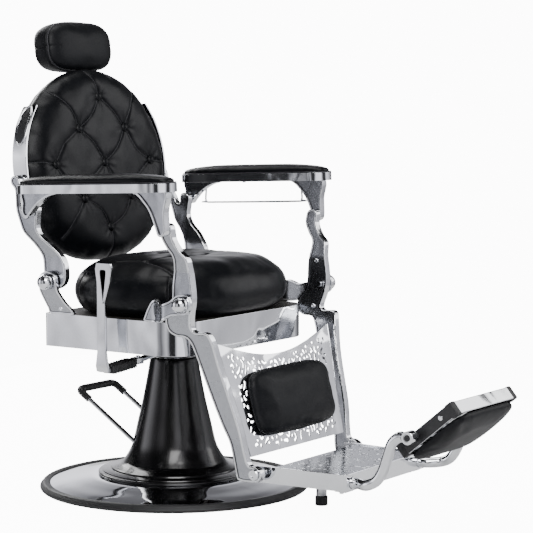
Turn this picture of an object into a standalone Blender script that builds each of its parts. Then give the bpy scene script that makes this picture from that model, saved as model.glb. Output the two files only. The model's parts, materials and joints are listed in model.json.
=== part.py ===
"""Hydraulic barber chair: cast side frames, linked armrests, tufted seat and back, folding footrest.

Metres, +Z up. The origin is the centre of the base's underside, on the column's axis, and the sitter
faces -Y, so the sitter's right side is -X.
"""

import math

import bmesh
import bpy
from mathutils import Matrix, Vector

GAP = 0.0003  # clearance left between pieces that touch

# Base and column
BASE_RADIUS = 0.330
RIM_WIDTH = 0.025
RIM_HEIGHT = 0.018
BASE_TOP = 0.0345
FLANGE_RADIUS = 0.187
COVER_TOP = 0.322
COVER_TOP_RADIUS = 0.0585
COVER_WALL = 0.005
CYLINDER_RADIUS = 0.045
CYLINDER_TOP = 0.290
RAM_RADIUS = 0.030
RAM_BOTTOM = 0.060
RUNNING_GAP = 0.0008

# Pump pedal
PEDAL_PIVOT = (0.0, 0.058, 0.105)
PEDAL_END = (0.245, 0.227)  # y and z of the foot bar
PEDAL_HALF_WIDTH = 0.070
PEDAL_ROD_RADIUS = 0.0055
PEDAL_GRIP_RADIUS = 0.0095
SHAFT_RADIUS = 0.008

# Seat
BAND_HALF_WIDTH = 0.268
BAND_FRONT = -0.225
BAND_REAR = 0.187
BAND_BOTTOM = 0.363
BAND_TOP = 0.442
BAND_WALL = 0.0035
BAND_FRONT_CORNER = 0.075
BAND_REAR_CORNER = 0.012
BOARD_THICKNESS = 0.0137
SEAT_HALF = (0.261, 0.217)
SEAT_CENTRE_Y = -0.025
SEAT_HEIGHT = 0.126
SEAT_SQUARENESS = 2.7
SUPPORT_HALF_WIDTH = 0.250
SUPPORT_Y = (-0.115, 0.060)
SUPPORT_TOP = 0.4277
SUPPORT_WALL = 0.004
HUB_RADIUS = 0.046
HUB_BOTTOM = 0.330

# Side linkage: the two lower pivots and the two armrest pivots stand at the corners of a parallelogram
REAR_PIVOT = (0.146, 0.521)
FRONT_PIVOT = (-0.249, 0.491)
ARM_PIVOT = (0.184, 0.688)
FRONT_ARM_PIVOT = tuple(a + f - r for a, f, r in zip(ARM_PIVOT, FRONT_PIVOT, REAR_PIVOT))
PIN_RADIUS = 0.008
PIN_HOLE_RADIUS = 0.009
BALL_RADIUS = 0.0195
BALL_X = 0.309
BALL_FLAT_X = 0.3025
PIN_INNER_X = 0.262
FRAME_THICKNESS = 0.020
ARM_FRAME_X = (0.3125, 0.3325)

# Armrests
ARM_X = 0.323
ARM_FRONT = -0.243
ARM_REAR = 0.204
ARM_HALF_WIDTH = 0.043
ARM_UNDERSIDE = 0.7375
ARM_TILT = math.radians(2.2)
TRAY_HEIGHT = 0.020
PAD_HEIGHT = 0.020
TOWEL_X = 0.345
TOWEL_RADIUS = 0.0025

# Backrest and headrest, in the leaning back's own frame: x across, y depth, z along its height
BACK_POINT = (0.0, 0.225, 0.787)
BACK_LEAN = math.radians(6.6)
BACK_HALF = (0.265, 0.237)
BACK_FRONT = -0.018
BACK_REAR = 0.045
SHELL_THICKNESS = 0.012
STRAP_DEPTH = (0.006, 0.050)
STRAP_RISE = (-0.052, 0.150)
STRAP_THICKNESS = 0.006
HEADREST_HALF = (0.115, 0.0565)
HEADREST_DEPTH = (0.014, 0.090)
HEADREST_CENTRE = 0.296
POST_HALF_WIDTH = 0.015
POST_DEPTH = (0.067, 0.073)

# Recline lever, on the sitter's right
LEVER_X = -0.3065
LEVER_THICKNESS = 0.008
LEVER_AXIS = (-0.022, 0.341)

# Legrest
PANEL_TOP = (-0.295, 0.398)  # y and z of the panel's upper corners
PANEL_BOTTOM = (-0.365, 0.140)
PANEL_HALF_TOP = 0.233
PANEL_HALF_BOTTOM = 0.197
PANEL_SCOOP = 0.045
PANEL_THICKNESS = 0.003
CALF_HALF = (0.162, 0.078)
CALF_CENTRE_Z = 0.249
CALF_THICKNESS = 0.034

# Footrest
LEG_BOLT = (-0.391, 0.106)
LEG_BOLT_X = 0.210
PLATE_FRONT = -0.607
PLATE_HALF_FRONT = 0.172
PLATE_FLARE = 0.070
PLATE_Z = (0.082, 0.120)
PLATE_WALL = 0.006
TUBE_X = 0.168
TUBE_ROOT = (0.150, 0.1005)  # x and height of the tube where it passes through the front bar
TUBE_RADIUS = 0.0125
PANEL_PIVOT = (-0.765, 0.221)
FOOT_PANEL_ANGLE = math.radians(39.6)
FOOT_PANEL_HALF_WIDTH = 0.140
FOOT_PANEL_SPAN = (-0.058, 0.116)  # from the pivot, along the panel
FOOT_PANEL_DEPTH = (-0.021, 0.010)  # from the pivot, square to the panel
FOOT_PAD_THICKNESS = 0.026
POST_Y = -0.430
POST_RADIUS = 0.0125
POST_FOOT_RADIUS = 0.0150
POST_BOTTOM = 0.0025

# Finishes: colour, roughness, metallic
FINISHES = {
    "chrome": ((0.80, 0.81, 0.83), 0.08, 1.0),
    "gloss_black": ((0.012, 0.012, 0.014), 0.10, 0.0),
    "black_steel": ((0.02, 0.02, 0.022), 0.35, 0.6),
    "steel": ((0.50, 0.50, 0.52), 0.30, 1.0),
    "rubber": ((0.015, 0.015, 0.016), 0.65, 0.0),
    "leather": ((0.018, 0.020, 0.026), 0.38, 0.0),
    "board": ((0.35, 0.24, 0.14), 0.70, 0.0),
}

# The point that each moving body turns about or slides from
BODIES = {
    "base": (0.0, 0.0, 0.0),
    "pedal": PEDAL_PIVOT,
    "ram": (0.0, 0.0, RAM_BOTTOM),
    "seat": (0.0, 0.0, HUB_BOTTOM),
    "lever": (LEVER_X, *LEVER_AXIS),
    "back": (0.0, *REAR_PIVOT),
    "headrest": (0.0, 0.335, 0.900),
    "legrest": (0.0, *FRONT_PIVOT),
    "footrest": (0.0, *LEG_BOLT),
    "foot_panel": (0.0, *PANEL_PIVOT),
    "arm_left": (ARM_X, *ARM_PIVOT),
    "arm_right": (-ARM_X, *ARM_PIVOT),
}
SIDES = {"left": 1, "right": -1}


def clear_scene():
    for obj in list(bpy.data.objects):
        bpy.data.objects.remove(obj)


def add_pivots():
    """One empty for each body, standing on its joint."""
    pivots = {}
    for body, place in BODIES.items():
        pivots[body] = bpy.data.objects.new(f"{body}_pivot", None)
        pivots[body].location = place
        bpy.context.collection.objects.link(pivots[body])
    return pivots


def finish_of(name, finish):
    colour, roughness, metallic = FINISHES[finish]
    material = bpy.data.materials.new(name)
    material.use_nodes = True
    shader = material.node_tree.nodes["Principled BSDF"]
    shader.inputs["Base Color"].default_value = (*colour, 1.0)
    shader.inputs["Roughness"].default_value = roughness
    shader.inputs["Metallic"].default_value = metallic
    return material


def place_object(name, data, body, finish):
    obj = bpy.data.objects.new(name, data)
    obj.parent = PIVOTS[body]
    bpy.context.collection.objects.link(obj)
    data.materials.append(finish_of(name, finish))
    return obj


def add_piece(name, bm, body, finish, side=1):
    """A mesh modelled in the chair's frame becomes a named piece on its body; side -1 mirrors it."""
    if side < 0:
        bmesh.ops.scale(bm, vec=(-1, 1, 1), verts=bm.verts)
        bmesh.ops.reverse_faces(bm, faces=bm.faces)
    bmesh.ops.translate(bm, vec=-Vector(BODIES[body]), verts=bm.verts)
    mesh = bpy.data.meshes.new(name)
    bm.to_mesh(mesh)
    bm.free()
    mesh.shade_smooth()
    mesh.set_sharp_from_angle(angle=math.radians(35))
    return place_object(name, mesh, body, finish)


def add_rod(name, points, radius, body, finish, sides=3):
    """A round bar along points, with filled ends."""
    curve = bpy.data.curves.new(name, "CURVE")
    curve.dimensions = "3D"
    curve.bevel_depth = radius
    curve.bevel_resolution = sides
    curve.use_fill_caps = True
    spline = curve.splines.new("POLY")
    spline.points.add(len(points) - 1)
    for point, place in zip(spline.points, points):
        point.co = (*(Vector(place) - Vector(BODIES[body])), 1)
    return place_object(name, curve, body, finish)


def combine(obj, bm, operation, side=1):
    """Cuts a shape from a piece or joins it on, with a Boolean that keeps its helper hidden."""
    body = obj.parent.name.removesuffix("_pivot")
    helper = add_piece(f"{obj.name}_{operation.lower()}", bm, body, "steel", side)
    helper.hide_render = True
    helper.display_type = "WIRE"
    modifier = obj.modifiers.new(helper.name, "BOOLEAN")
    modifier.operation = operation
    modifier.object = helper


def extruded(outline, axis, low, high, lean_axis=None, lean=()):
    """A closed plate: the outline, in the two other axes, drawn out from low to high along one axis.

    lean holds (position, offset) stops: the plate is creased at each position along lean_axis and
    moved along axis by the offset.
    """
    bm = bmesh.new()
    others = [i for i in range(3) if i != axis]
    corners = []
    for pair in outline:
        point = Vector((0, 0, 0))
        point[axis] = low
        point[others[0]], point[others[1]] = pair
        corners.append(bm.verts.new(point))
    face = bm.faces.new(corners)
    drawn = bmesh.ops.extrude_face_region(bm, geom=[face])
    along = Vector((0, 0, 0))
    along[axis] = high - low
    moved = [item for item in drawn["geom"] if isinstance(item, bmesh.types.BMVert)]
    bmesh.ops.translate(bm, vec=along, verts=moved)
    bmesh.ops.recalc_face_normals(bm, faces=bm.faces)
    for position, _ in lean:
        crease = Vector((0, 0, 0))
        crease[lean_axis] = 1
        everything = [*bm.verts, *bm.edges, *bm.faces]
        bmesh.ops.bisect_plane(bm, geom=everything, dist=1e-5, plane_co=crease * position, plane_no=crease)
    bmesh.ops.triangulate(bm, faces=[face for face in bm.faces if len(face.verts) > 4])
    for vert in bm.verts if lean else ():
        vert.co[axis] += between(vert.co[lean_axis], lean)
    return bm


def block(low, high):
    """A box between two corners."""
    bm = bmesh.new()
    bmesh.ops.create_cube(bm, size=1)
    low, high = Vector(low), Vector(high)
    bmesh.ops.scale(bm, vec=high - low, verts=bm.verts)
    bmesh.ops.translate(bm, vec=(low + high) / 2, verts=bm.verts)
    return bm


def turned(profile, steps=48, ring=False):
    """A (radius, height) profile turned about Z. A ring's profile closes on itself."""
    bm = bmesh.new()
    verts = [bm.verts.new((radius, 0, height)) for radius, height in profile]
    ends = verts + verts[:1] if ring else verts
    edges = [bm.edges.new(pair) for pair in zip(ends, ends[1:])]
    bmesh.ops.spin(bm, geom=verts + edges, axis=(0, 0, 1), angle=math.tau, steps=steps, use_merge=True)
    bmesh.ops.remove_doubles(bm, verts=bm.verts, dist=1e-5)
    bmesh.ops.recalc_face_normals(bm, faces=bm.faces)
    return bm


def along_x(bm, place):
    """A shape turned about Z laid along +X, with its foot at place."""
    bmesh.ops.rotate(bm, matrix=Matrix.Rotation(math.pi / 2, 3, "Y"), verts=bm.verts)
    bmesh.ops.translate(bm, vec=place, verts=bm.verts)
    return bm


def peg(radius, x_range, yz, steps=16):
    """A round bar along X."""
    low, high = x_range
    profile = [(0, 0), (radius, 0), (radius, high - low), (0, high - low)]
    return along_x(turned(profile, steps), (low, *yz))


def signed_power(value, power):
    return math.copysign(abs(value) ** power, value)


def pillow(rim, depth, steps, rows, edge=0.5, crown=0.8):
    """A padded form about Z: rim(angle) gives its outline and depth(latitude sign) its half heights."""
    bm = bmesh.new()
    bmesh.ops.create_uvsphere(bm, u_segments=steps, v_segments=rows, radius=1)
    for vert in bm.verts:
        level = max(-1.0, min(1.0, vert.co.z))
        spread = max(0.0, 1 - level * level) ** (edge / 2)
        u, v = rim(math.atan2(vert.co.y, vert.co.x))
        vert.co = (u * spread, v * spread, depth(signed_power(level, crown)))
    return bm


def superellipse(half_u, half_v, squareness):
    def rim(angle):
        c, s = math.cos(angle), math.sin(angle)
        return half_u * signed_power(c, 2 / squareness), half_v * signed_power(s, 2 / squareness)

    return rim


def between(value, stops):
    """Straight-line reading of value in a list of (position, result) stops."""
    if value <= stops[0][0]:
        return stops[0][1]
    for (a, left), (b, right) in zip(stops, stops[1:]):
        if value <= b:
            return left + (right - left) * (value - a) / (b - a)
    return stops[-1][1]


def arc(centre, radius, start, end, steps):
    """Points on a circle, from one angle to another in degrees."""
    angles = [math.radians(start + (end - start) * i / steps) for i in range(steps + 1)]
    return [(centre[0] + radius * math.cos(a), centre[1] + radius * math.sin(a)) for a in angles]


def smooth_path(points, per_span=3):
    """Points on a Catmull-Rom curve through the given points."""
    knots = [Vector(p) for p in points]
    knots = [2 * knots[0] - knots[1], *knots, 2 * knots[-1] - knots[-2]]
    path = []
    for a, b, c, d in zip(knots, knots[1:], knots[2:], knots[3:]):
        for i in range(per_span):
            t = i / per_span
            path.append(0.5 * (2 * b + (c - a) * t + (2 * a - 5 * b + 4 * c - d) * t**2
                               + (3 * b - a - 3 * c + d) * t**3))
    return [*path, knots[-2]]


# Base and column ---------------------------------------------------------------------------------


def build_base():
    inner = BASE_RADIUS - RIM_WIDTH
    plate = [(0, 0), (0.06, 0), (0.07, 0.014), (0.265, 0.009), (0.275, 0), (inner - GAP, 0),
             (inner - GAP, 0.016), (0.25, 0.0255), (0.205, BASE_TOP), (0, BASE_TOP)]
    add_piece("base_plate", turned(plate, 56), "base", "chrome")
    rim = [(inner + GAP, 0), (BASE_RADIUS - 0.004, 0), (BASE_RADIUS, 0.004), (BASE_RADIUS, 0.012),
           (BASE_RADIUS - 0.005, RIM_HEIGHT - 0.001), (inner + 0.008, RIM_HEIGHT), (inner + GAP, 0.015)]
    add_piece("base_rim", turned(rim, 56, ring=True), "base", "rubber")


def cover_radius(height):
    """Outer radius of the column cover."""
    return between(height, [(0.049, 0.150), (0.062, 0.128), (0.085, 0.113), (0.110, 0.102), (0.160, 0.0905),
                            (0.213, 0.078), (0.270, 0.067), (COVER_TOP - 0.004, COVER_TOP_RADIUS)])


def build_column():
    heights = [0.062, 0.085, 0.110, 0.160, 0.213, 0.270, COVER_TOP - 0.004]
    bottom = BASE_TOP + GAP
    outer = [(FLANGE_RADIUS - 0.002, bottom), (FLANGE_RADIUS, bottom + 0.006),
             (FLANGE_RADIUS - 0.007, bottom + 0.011), (0.150, 0.049)]
    outer += [(cover_radius(z), z) for z in heights] + [(COVER_TOP_RADIUS - 0.003, COVER_TOP)]
    inner = [(CYLINDER_RADIUS - 0.001, COVER_TOP), (CYLINDER_RADIUS - 0.001, COVER_TOP - 0.006)]
    inner += [(cover_radius(z) - COVER_WALL, z - 0.002) for z in reversed(heights)] + [(0.140, bottom)]
    cover = add_piece("column_cover", turned(outer + inner, 40, ring=True), "base", "gloss_black")
    for side in SIDES.values():
        slot = block((PEDAL_HALF_WIDTH - 0.009, 0.03, 0.095), (PEDAL_HALF_WIDTH + 0.009, 0.14, 0.130))
        combine(cover, slot, "DIFFERENCE", side)

    bore = RAM_RADIUS + RUNNING_GAP
    profile = [(0, BASE_TOP + GAP), (CYLINDER_RADIUS, BASE_TOP + GAP), (CYLINDER_RADIUS, CYLINDER_TOP),
               (bore, CYLINDER_TOP), (bore, RAM_BOTTOM - 0.005), (0, RAM_BOTTOM - 0.005)]
    cylinder = add_piece("pump_cylinder", turned(profile, 32), "base", "steel")
    y, z = PEDAL_PIVOT[1:]
    for side in SIDES.values():
        lug = [(0.030, z - 0.03), (y, z - 0.014), (y + 0.012, z - 0.006), (y + 0.012, z + 0.008),
               (y, z + 0.014), (0.030, z + 0.03)]
        combine(cylinder, extruded(lug, 0, 0.022, 0.030), "UNION", side)
    combine(cylinder, peg(SHAFT_RADIUS + RUNNING_GAP, (-0.04, 0.04), (y, z)), "DIFFERENCE")

    cap = [(bore, CYLINDER_TOP + GAP), (CYLINDER_RADIUS - 0.003, CYLINDER_TOP + GAP),
           (CYLINDER_RADIUS - 0.003, COVER_TOP - 0.008), (bore + 0.006, COVER_TOP), (bore, COVER_TOP)]
    add_piece("cylinder_cap", turned(cap, 32, ring=True), "base", "black_steel")

    ram_top = SUPPORT_TOP - 0.013
    ram = [(0, RAM_BOTTOM), (RAM_RADIUS, RAM_BOTTOM), (RAM_RADIUS, ram_top), (0, ram_top)]
    add_piece("lift_ram", turned(ram, 32), "ram", "chrome")


def build_pedal():
    x, y, z = PEDAL_PIVOT
    add_piece("pedal_shaft", peg(SHAFT_RADIUS, (-PEDAL_HALF_WIDTH - 0.006, PEDAL_HALF_WIDTH + 0.006), (y, z)),
              "pedal", "steel")
    end = Vector((0, *PEDAL_END))
    out = (end - Vector((0, y, z))).normalized()
    start = Vector((0, y, z)) + out * (SHAFT_RADIUS + PEDAL_ROD_RADIUS * 0.5)
    grip_length = 0.040
    corner = 0.014
    width = PEDAL_HALF_WIDTH
    across = Vector((width, 0, 0))

    for name, side in SIDES.items():
        rod = [start + side * across, end - out * (grip_length + GAP) + side * across]
        add_rod(f"pedal_rod_{name}", rod, PEDAL_ROD_RADIUS, "pedal", "chrome")

    bend = [end - out * corner * (1 - math.sin(a)) + Vector((width - corner * (1 - math.cos(a)), 0, 0))
            for a in (0, math.pi / 6, math.pi / 3, math.pi / 2)]
    half = [end - out * grip_length + across, *bend]
    grip = half + [Vector((-p.x, p.y, p.z)) for p in reversed(half)]
    add_rod("pedal_grip", grip, PEDAL_GRIP_RADIUS, "pedal", "rubber")


# Seat --------------------------------------------------------------------------------------------


def band_outline(inset):
    """The seat band in plan: straight sides, broad front corners and tight rear ones."""
    half, front, rear = BAND_HALF_WIDTH - inset, BAND_FRONT + inset, BAND_REAR - inset
    broad, tight = BAND_FRONT_CORNER - inset, BAND_REAR_CORNER - min(inset, 0.008)
    points = arc((half - broad, front + broad), broad, -90, 0, 6)
    points += arc((half - tight, rear - tight), tight, 0, 90, 2)
    return points + [(-x, y) for x, y in reversed(points)]


def build_seat():
    band = add_piece("seat_band", extruded(band_outline(0), 2, BAND_BOTTOM, BAND_TOP), "seat", "chrome")
    combine(band, extruded(band_outline(BAND_WALL), 2, BAND_BOTTOM - 0.01, BAND_TOP + 0.01), "DIFFERENCE")

    board_low = SUPPORT_TOP + GAP
    add_piece("seat_board", extruded(band_outline(BAND_WALL + GAP), 2, board_low, board_low + BOARD_THICKNESS),
              "seat", "board")

    def seat_depth(level):
        return SEAT_HEIGHT * (0.42 + 0.58 * level) if level > -0.7 else 0.0

    cushion = pillow(superellipse(*SEAT_HALF, SEAT_SQUARENESS), seat_depth, 36, 14, edge=0.42, crown=0.85)
    bmesh.ops.translate(cushion, vec=(0, SEAT_CENTRE_Y, BAND_TOP + GAP), verts=cushion.verts)
    add_piece("seat_cushion", cushion, "seat", "leather")
    build_seat_support()


def build_seat_support():
    """A pressed channel across the seat, with the hub that turns on the ram."""
    end, low = SUPPORT_HALF_WIDTH, 0.345
    half = [(end, BAND_BOTTOM + 0.003), (end, SUPPORT_TOP), (-end, SUPPORT_TOP), (-end, BAND_BOTTOM + 0.003)]
    outline = [(-0.12, low), (0.12, low), *half]
    front, rear = SUPPORT_Y
    support = add_piece("seat_support", extruded(outline, 1, front, rear), "seat", "black_steel")
    hollow = block((-0.3, front + SUPPORT_WALL, 0.30), (0.3, rear - SUPPORT_WALL, SUPPORT_TOP - SUPPORT_WALL))
    combine(support, hollow, "DIFFERENCE")
    bore = RAM_RADIUS + RUNNING_GAP
    bore_top = SUPPORT_TOP - 0.012
    hub = [(0, bore_top), (bore, bore_top), (bore, HUB_BOTTOM), (HUB_RADIUS, HUB_BOTTOM),
           (HUB_RADIUS, SUPPORT_TOP - 0.001), (0, SUPPORT_TOP - 0.001)]
    combine(support, turned(hub, 32), "UNION")


# Side frames and their pivots --------------------------------------------------------------------

WING_OUTLINE = [(-0.120, 0.4425), (-0.122, 0.458), (-0.132, 0.478), (-0.142, 0.491), (-0.157, 0.4965),
                (-0.170, 0.491), (-0.180, 0.487), (-0.209, 0.495), (-0.236, 0.512), (-0.262, 0.512),
                (-0.272, 0.491), (-0.262, 0.470), (-0.240, 0.466), (-0.215, 0.462), (-0.186, 0.448),
                (-0.165, 0.4425)]
REAR_BRACKET_OUTLINE = [(0.094, 0.4425), (0.162, 0.4425), (0.168, 0.455), (0.172, 0.500), (0.170, 0.535),
                        (0.146, 0.546), (0.124, 0.535), (0.118, 0.505), (0.108, 0.472), (0.094, 0.452)]
FRONT_FRAME_OUTLINE = [
    (-0.226, 0.660), (-0.228, 0.636), (-0.243, 0.611), (-0.259, 0.594), (-0.263, 0.563), (-0.270, 0.505),
    (-0.264, 0.468), (-0.258, 0.438), (-0.268, 0.427), (-0.296, 0.427), (-0.308, 0.409), (-0.322, 0.341),
    (-0.342, 0.270), (-0.360, 0.205), (-0.369, 0.150), (-0.376, 0.126), (-0.391, 0.123), (-0.404, 0.116),
    (-0.408, 0.104), (-0.402, 0.092), (-0.390, 0.087), (-0.350, 0.087), (-0.339, 0.100), (-0.329, 0.170),
    (-0.3095, 0.216), (-0.2815, 0.293), (-0.2585, 0.368), (-0.247, 0.399), (-0.236, 0.411), (-0.212, 0.413),
    (-0.193, 0.423), (-0.188, 0.440), (-0.191, 0.457), (-0.206, 0.478), (-0.212, 0.500), (-0.214, 0.540),
    (-0.221, 0.592), (-0.207, 0.616), (-0.195, 0.640), (-0.196, 0.662), (-0.203, 0.672), (-0.213, 0.674),
    (-0.222, 0.670),
]
REAR_FRAME_OUTLINE = [
    (0.162, 0.506), (0.170, 0.521), (0.168, 0.545), (0.172, 0.580), (0.189, 0.607), (0.214, 0.634),
    (0.228, 0.668), (0.240, 0.705), (0.252, 0.735), (0.264, 0.748), (0.265, 0.762), (0.252, 0.769),
    (0.240, 0.760), (0.232, 0.735), (0.222, 0.702), (0.210, 0.676), (0.200, 0.676), (0.199, 0.690),
    (0.192, 0.701), (0.178, 0.702), (0.169, 0.692), (0.171, 0.672), (0.173, 0.646), (0.160, 0.624),
    (0.130, 0.600), (0.108, 0.573), (0.101, 0.545), (0.104, 0.522), (0.118, 0.508), (0.142, 0.501),
]
FRONT_FRAME_LEAN = [(0.106, 0.210), (0.300, 0.238), (0.400, 0.2570), (0.425, 0.2672), (0.455, 0.2765),
                    (0.470, 0.2805), (0.560, 0.2805), (0.600, 0.2900), (0.660, 0.3015)]
REAR_FRAME_LEAN = [(0.580, 0.2805), (0.640, 0.2990), (0.690, 0.3015), (0.735, 0.2850), (0.765, 0.2838)]


def frame_plate(outline, lean, thickness=FRAME_THICKNESS):
    """A casting that leans outwards: its middle follows the (height, x) stops."""
    return extruded(outline, 0, -thickness / 2, thickness / 2, 2, lean)


def build_pivot(name, yz, side):
    """A pin through bracket and frame with a polished ball on its outer end."""
    sweep = math.degrees(math.asin((BALL_FLAT_X - BALL_X) / BALL_RADIUS))
    dome = [(r, x - PIN_INNER_X) for x, r in arc((BALL_X, 0), BALL_RADIUS, 90 - sweep, 0, 7)]
    profile = [(0, 0), (PIN_RADIUS, 0), (PIN_RADIUS, BALL_FLAT_X - PIN_INNER_X), *dome]
    profile[-1] = (0, profile[-1][1])
    add_piece(name, along_x(turned(profile, 16), (PIN_INNER_X, *yz)), "seat", "chrome", side)


def build_side(name, side):
    hole = (0.24, 0.34)
    wing_lean = [(-0.190, 0.2970), (-0.150, 0.2680)]
    wing = extruded(WING_OUTLINE, 0, -0.005, 0.005, 1, wing_lean)
    wing = add_piece(f"front_bracket_{name}", wing, "seat", "chrome", side)
    combine(wing, peg(PIN_HOLE_RADIUS, hole, FRONT_PIVOT), "DIFFERENCE", side)

    bracket_lean = [(0.452, 0.2680), (0.500, 0.2970)]
    bracket = frame_plate(REAR_BRACKET_OUTLINE, bracket_lean, 0.010)
    bracket = add_piece(f"rear_bracket_{name}", bracket, "seat", "chrome", side)
    combine(bracket, peg(PIN_HOLE_RADIUS, hole, REAR_PIVOT), "DIFFERENCE", side)

    front = add_piece(f"front_frame_{name}", frame_plate(FRONT_FRAME_OUTLINE, FRONT_FRAME_LEAN),
                      "legrest", "chrome", side)
    combine(front, peg(PIN_HOLE_RADIUS, hole, FRONT_PIVOT), "DIFFERENCE", side)
    combine(front, peg(0.0085, (0.15, 0.25), LEG_BOLT), "DIFFERENCE", side)
    rear = add_piece(f"rear_frame_{name}", frame_plate(REAR_FRAME_OUTLINE, REAR_FRAME_LEAN, 0.018),
                     "back", "chrome", side)
    combine(rear, peg(PIN_HOLE_RADIUS, hole, REAR_PIVOT), "DIFFERENCE", side)
    build_pivot(f"front_pivot_{name}", FRONT_PIVOT, side)
    build_pivot(f"rear_pivot_{name}", REAR_PIVOT, side)


# Armrests ----------------------------------------------------------------------------------------

ARM_REAR_PRONG = [(0.085, 0.738), (0.118, 0.724), (0.148, 0.706), (0.170, 0.684), (0.178, 0.675),
                  (0.190, 0.675), (0.197, 0.686), (0.196, 0.706), (0.190, 0.738)]
ARM_FRONT_PRONG = [(-0.125, 0.752), (-0.150, 0.732), (-0.178, 0.702), (-0.196, 0.664), (-0.204, 0.646),
                   (-0.217, 0.645), (-0.225, 0.658), (-0.224, 0.700), (-0.224, 0.752)]


def stadium(half_width, front, rear):
    """A strip with round ends, in plan."""
    front_end = arc((ARM_X, front + half_width), half_width, 180, 360, 8)
    rear_end = arc((ARM_X, rear - half_width), half_width, 0, 180, 8)
    return front_end + rear_end


def tilt_arm(bm):
    middle = (ARM_FRONT + ARM_REAR) / 2
    turn = Matrix.Rotation(-ARM_TILT, 3, "X")
    bmesh.ops.rotate(bm, cent=(0, middle, ARM_UNDERSIDE), matrix=turn, verts=bm.verts)
    return bm


def build_arm(name, side):
    body = f"arm_{name}"
    tray = extruded(stadium(ARM_HALF_WIDTH, ARM_FRONT, ARM_REAR), 2, ARM_UNDERSIDE, ARM_UNDERSIDE + TRAY_HEIGHT)
    tray = add_piece(f"armrest_tray_{name}", tilt_arm(tray), body, "chrome", side)
    for prong in (ARM_REAR_PRONG, ARM_FRONT_PRONG):
        combine(tray, extruded(prong, 0, *ARM_FRAME_X), "UNION", side)

    middle = (ARM_FRONT + ARM_REAR) / 2
    half_length = (ARM_REAR - ARM_FRONT) / 2 - 0.002
    low = ARM_UNDERSIDE + TRAY_HEIGHT + GAP
    pad = pillow(superellipse(ARM_HALF_WIDTH - 0.002, half_length, 3.4),
                 lambda level: PAD_HEIGHT * max(0.0, 0.25 + 0.75 * level), 28, 10, edge=0.4, crown=1.0)
    bmesh.ops.translate(pad, vec=(ARM_X, middle, low), verts=pad.verts)
    add_piece(f"armrest_pad_{name}", tilt_arm(pad), body, "leather", side)


def build_towel_bar():
    ends = [(-0.145, 0.7417), (0.150, 0.7303)]
    low = [(-0.148, 0.700), (-0.146, 0.6925), (-0.139, 0.689), (0.143, 0.677), (0.150, 0.6795), (0.153, 0.686)]
    path = [(TOWEL_X, y, z) for y, z in [ends[0], *low, ends[1]]]
    add_rod("towel_bar", path, TOWEL_RADIUS, "arm_left", "chrome", sides=2)


# Backrest and headrest ---------------------------------------------------------------------------


def lean_back(bm):
    """From the back's own frame to the chair's."""
    bmesh.ops.rotate(bm, matrix=Matrix.Rotation(-BACK_LEAN, 3, "X"), verts=bm.verts)
    bmesh.ops.translate(bm, vec=BACK_POINT, verts=bm.verts)
    return bm


def back_rim(angle, scale=1.0):
    """The back's outline: round above its middle and a little fuller below it."""
    squareness = 2.0 if math.sin(angle) > 0 else 2.35
    u, v = superellipse(BACK_HALF[0], BACK_HALF[1], squareness)(angle)
    return u * scale, v * scale


def back_half_width(height):
    """Half of the back's width at a height above its middle."""
    squareness = 2.0 if height > 0 else 2.35
    return BACK_HALF[0] * (1 - abs(height / BACK_HALF[1]) ** squareness) ** (1 / squareness)


def stood_up(bm):
    """A pillow modelled about Z turned so that its top faces forwards, along -Y."""
    bmesh.ops.rotate(bm, matrix=Matrix.Rotation(math.pi / 2, 3, "X"), verts=bm.verts)
    return bm


def build_back():
    seam = 0.020

    def depth(level):
        return (seam - BACK_FRONT) * level - seam if level > 0 else -min(BACK_REAR, seam - 0.05 * level)

    cushion = stood_up(pillow(back_rim, depth, 36, 14, edge=0.42, crown=0.8))
    add_piece("back_cushion", lean_back(cushion), "back", "leather")

    outline = [back_rim(math.tau * i / 36, 0.965) for i in range(36)]
    shell = extruded(outline, 1, BACK_REAR + GAP, BACK_REAR + GAP + SHELL_THICKNESS)
    add_piece("back_shell", lean_back(shell), "back", "gloss_black")

    low, high = STRAP_RISE
    heights = [low + (high - low) * i / 8 for i in range(9)]
    edge = [(back_half_width(h) + 0.003, h) for h in heights]
    face = [(x + STRAP_THICKNESS, h) for x, h in reversed(edge)]
    for name, side in SIDES.items():
        strap = lean_back(extruded(edge + face, 1, *STRAP_DEPTH))
        add_piece(f"back_strap_{name}", strap, "back", "chrome", side)
    build_headrest()


def build_headrest():
    behind = BACK_REAR + SHELL_THICKNESS + 2 * GAP
    socket = add_piece("headrest_socket", lean_back(block((-0.028, behind, 0.06), (0.028, 0.085, 0.14))),
                       "back", "black_steel")
    slot = block((-POST_HALF_WIDTH - 0.0008, POST_DEPTH[0] - 0.0008, 0.0),
                 (POST_HALF_WIDTH + 0.0008, POST_DEPTH[1] + 0.0008, 0.2))
    combine(socket, lean_back(slot), "DIFFERENCE")

    post = block((-POST_HALF_WIDTH, POST_DEPTH[0], 0.035), (POST_HALF_WIDTH, POST_DEPTH[1], HEADREST_CENTRE))
    add_piece("headrest_post", lean_back(post), "headrest", "chrome")

    front, rear = HEADREST_DEPTH
    middle, half = (front + rear) / 2, (rear - front) / 2
    form = stood_up(pillow(superellipse(*HEADREST_HALF, 3.2), lambda level: half * level, 28, 12, 0.45, 0.7))
    bmesh.ops.translate(form, vec=(0, middle, HEADREST_CENTRE), verts=form.verts)
    form = add_piece("headrest_cushion", lean_back(form), "headrest", "leather")
    pocket = block((-POST_HALF_WIDTH - 0.0005, POST_DEPTH[0] - 0.0005, 0.2),
                   (POST_HALF_WIDTH + 0.0005, POST_DEPTH[1] + 0.0005, HEADREST_CENTRE + 0.001))
    combine(form, lean_back(pocket), "DIFFERENCE")


# Recline lever -----------------------------------------------------------------------------------


def foot_level(x):
    """Height of the middle of the lever's flat foot, which climbs towards the middle of the chair."""
    return between(x, [(-0.300, 0.3225), (-0.190, 0.3305), (-0.100, 0.341)])


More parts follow.
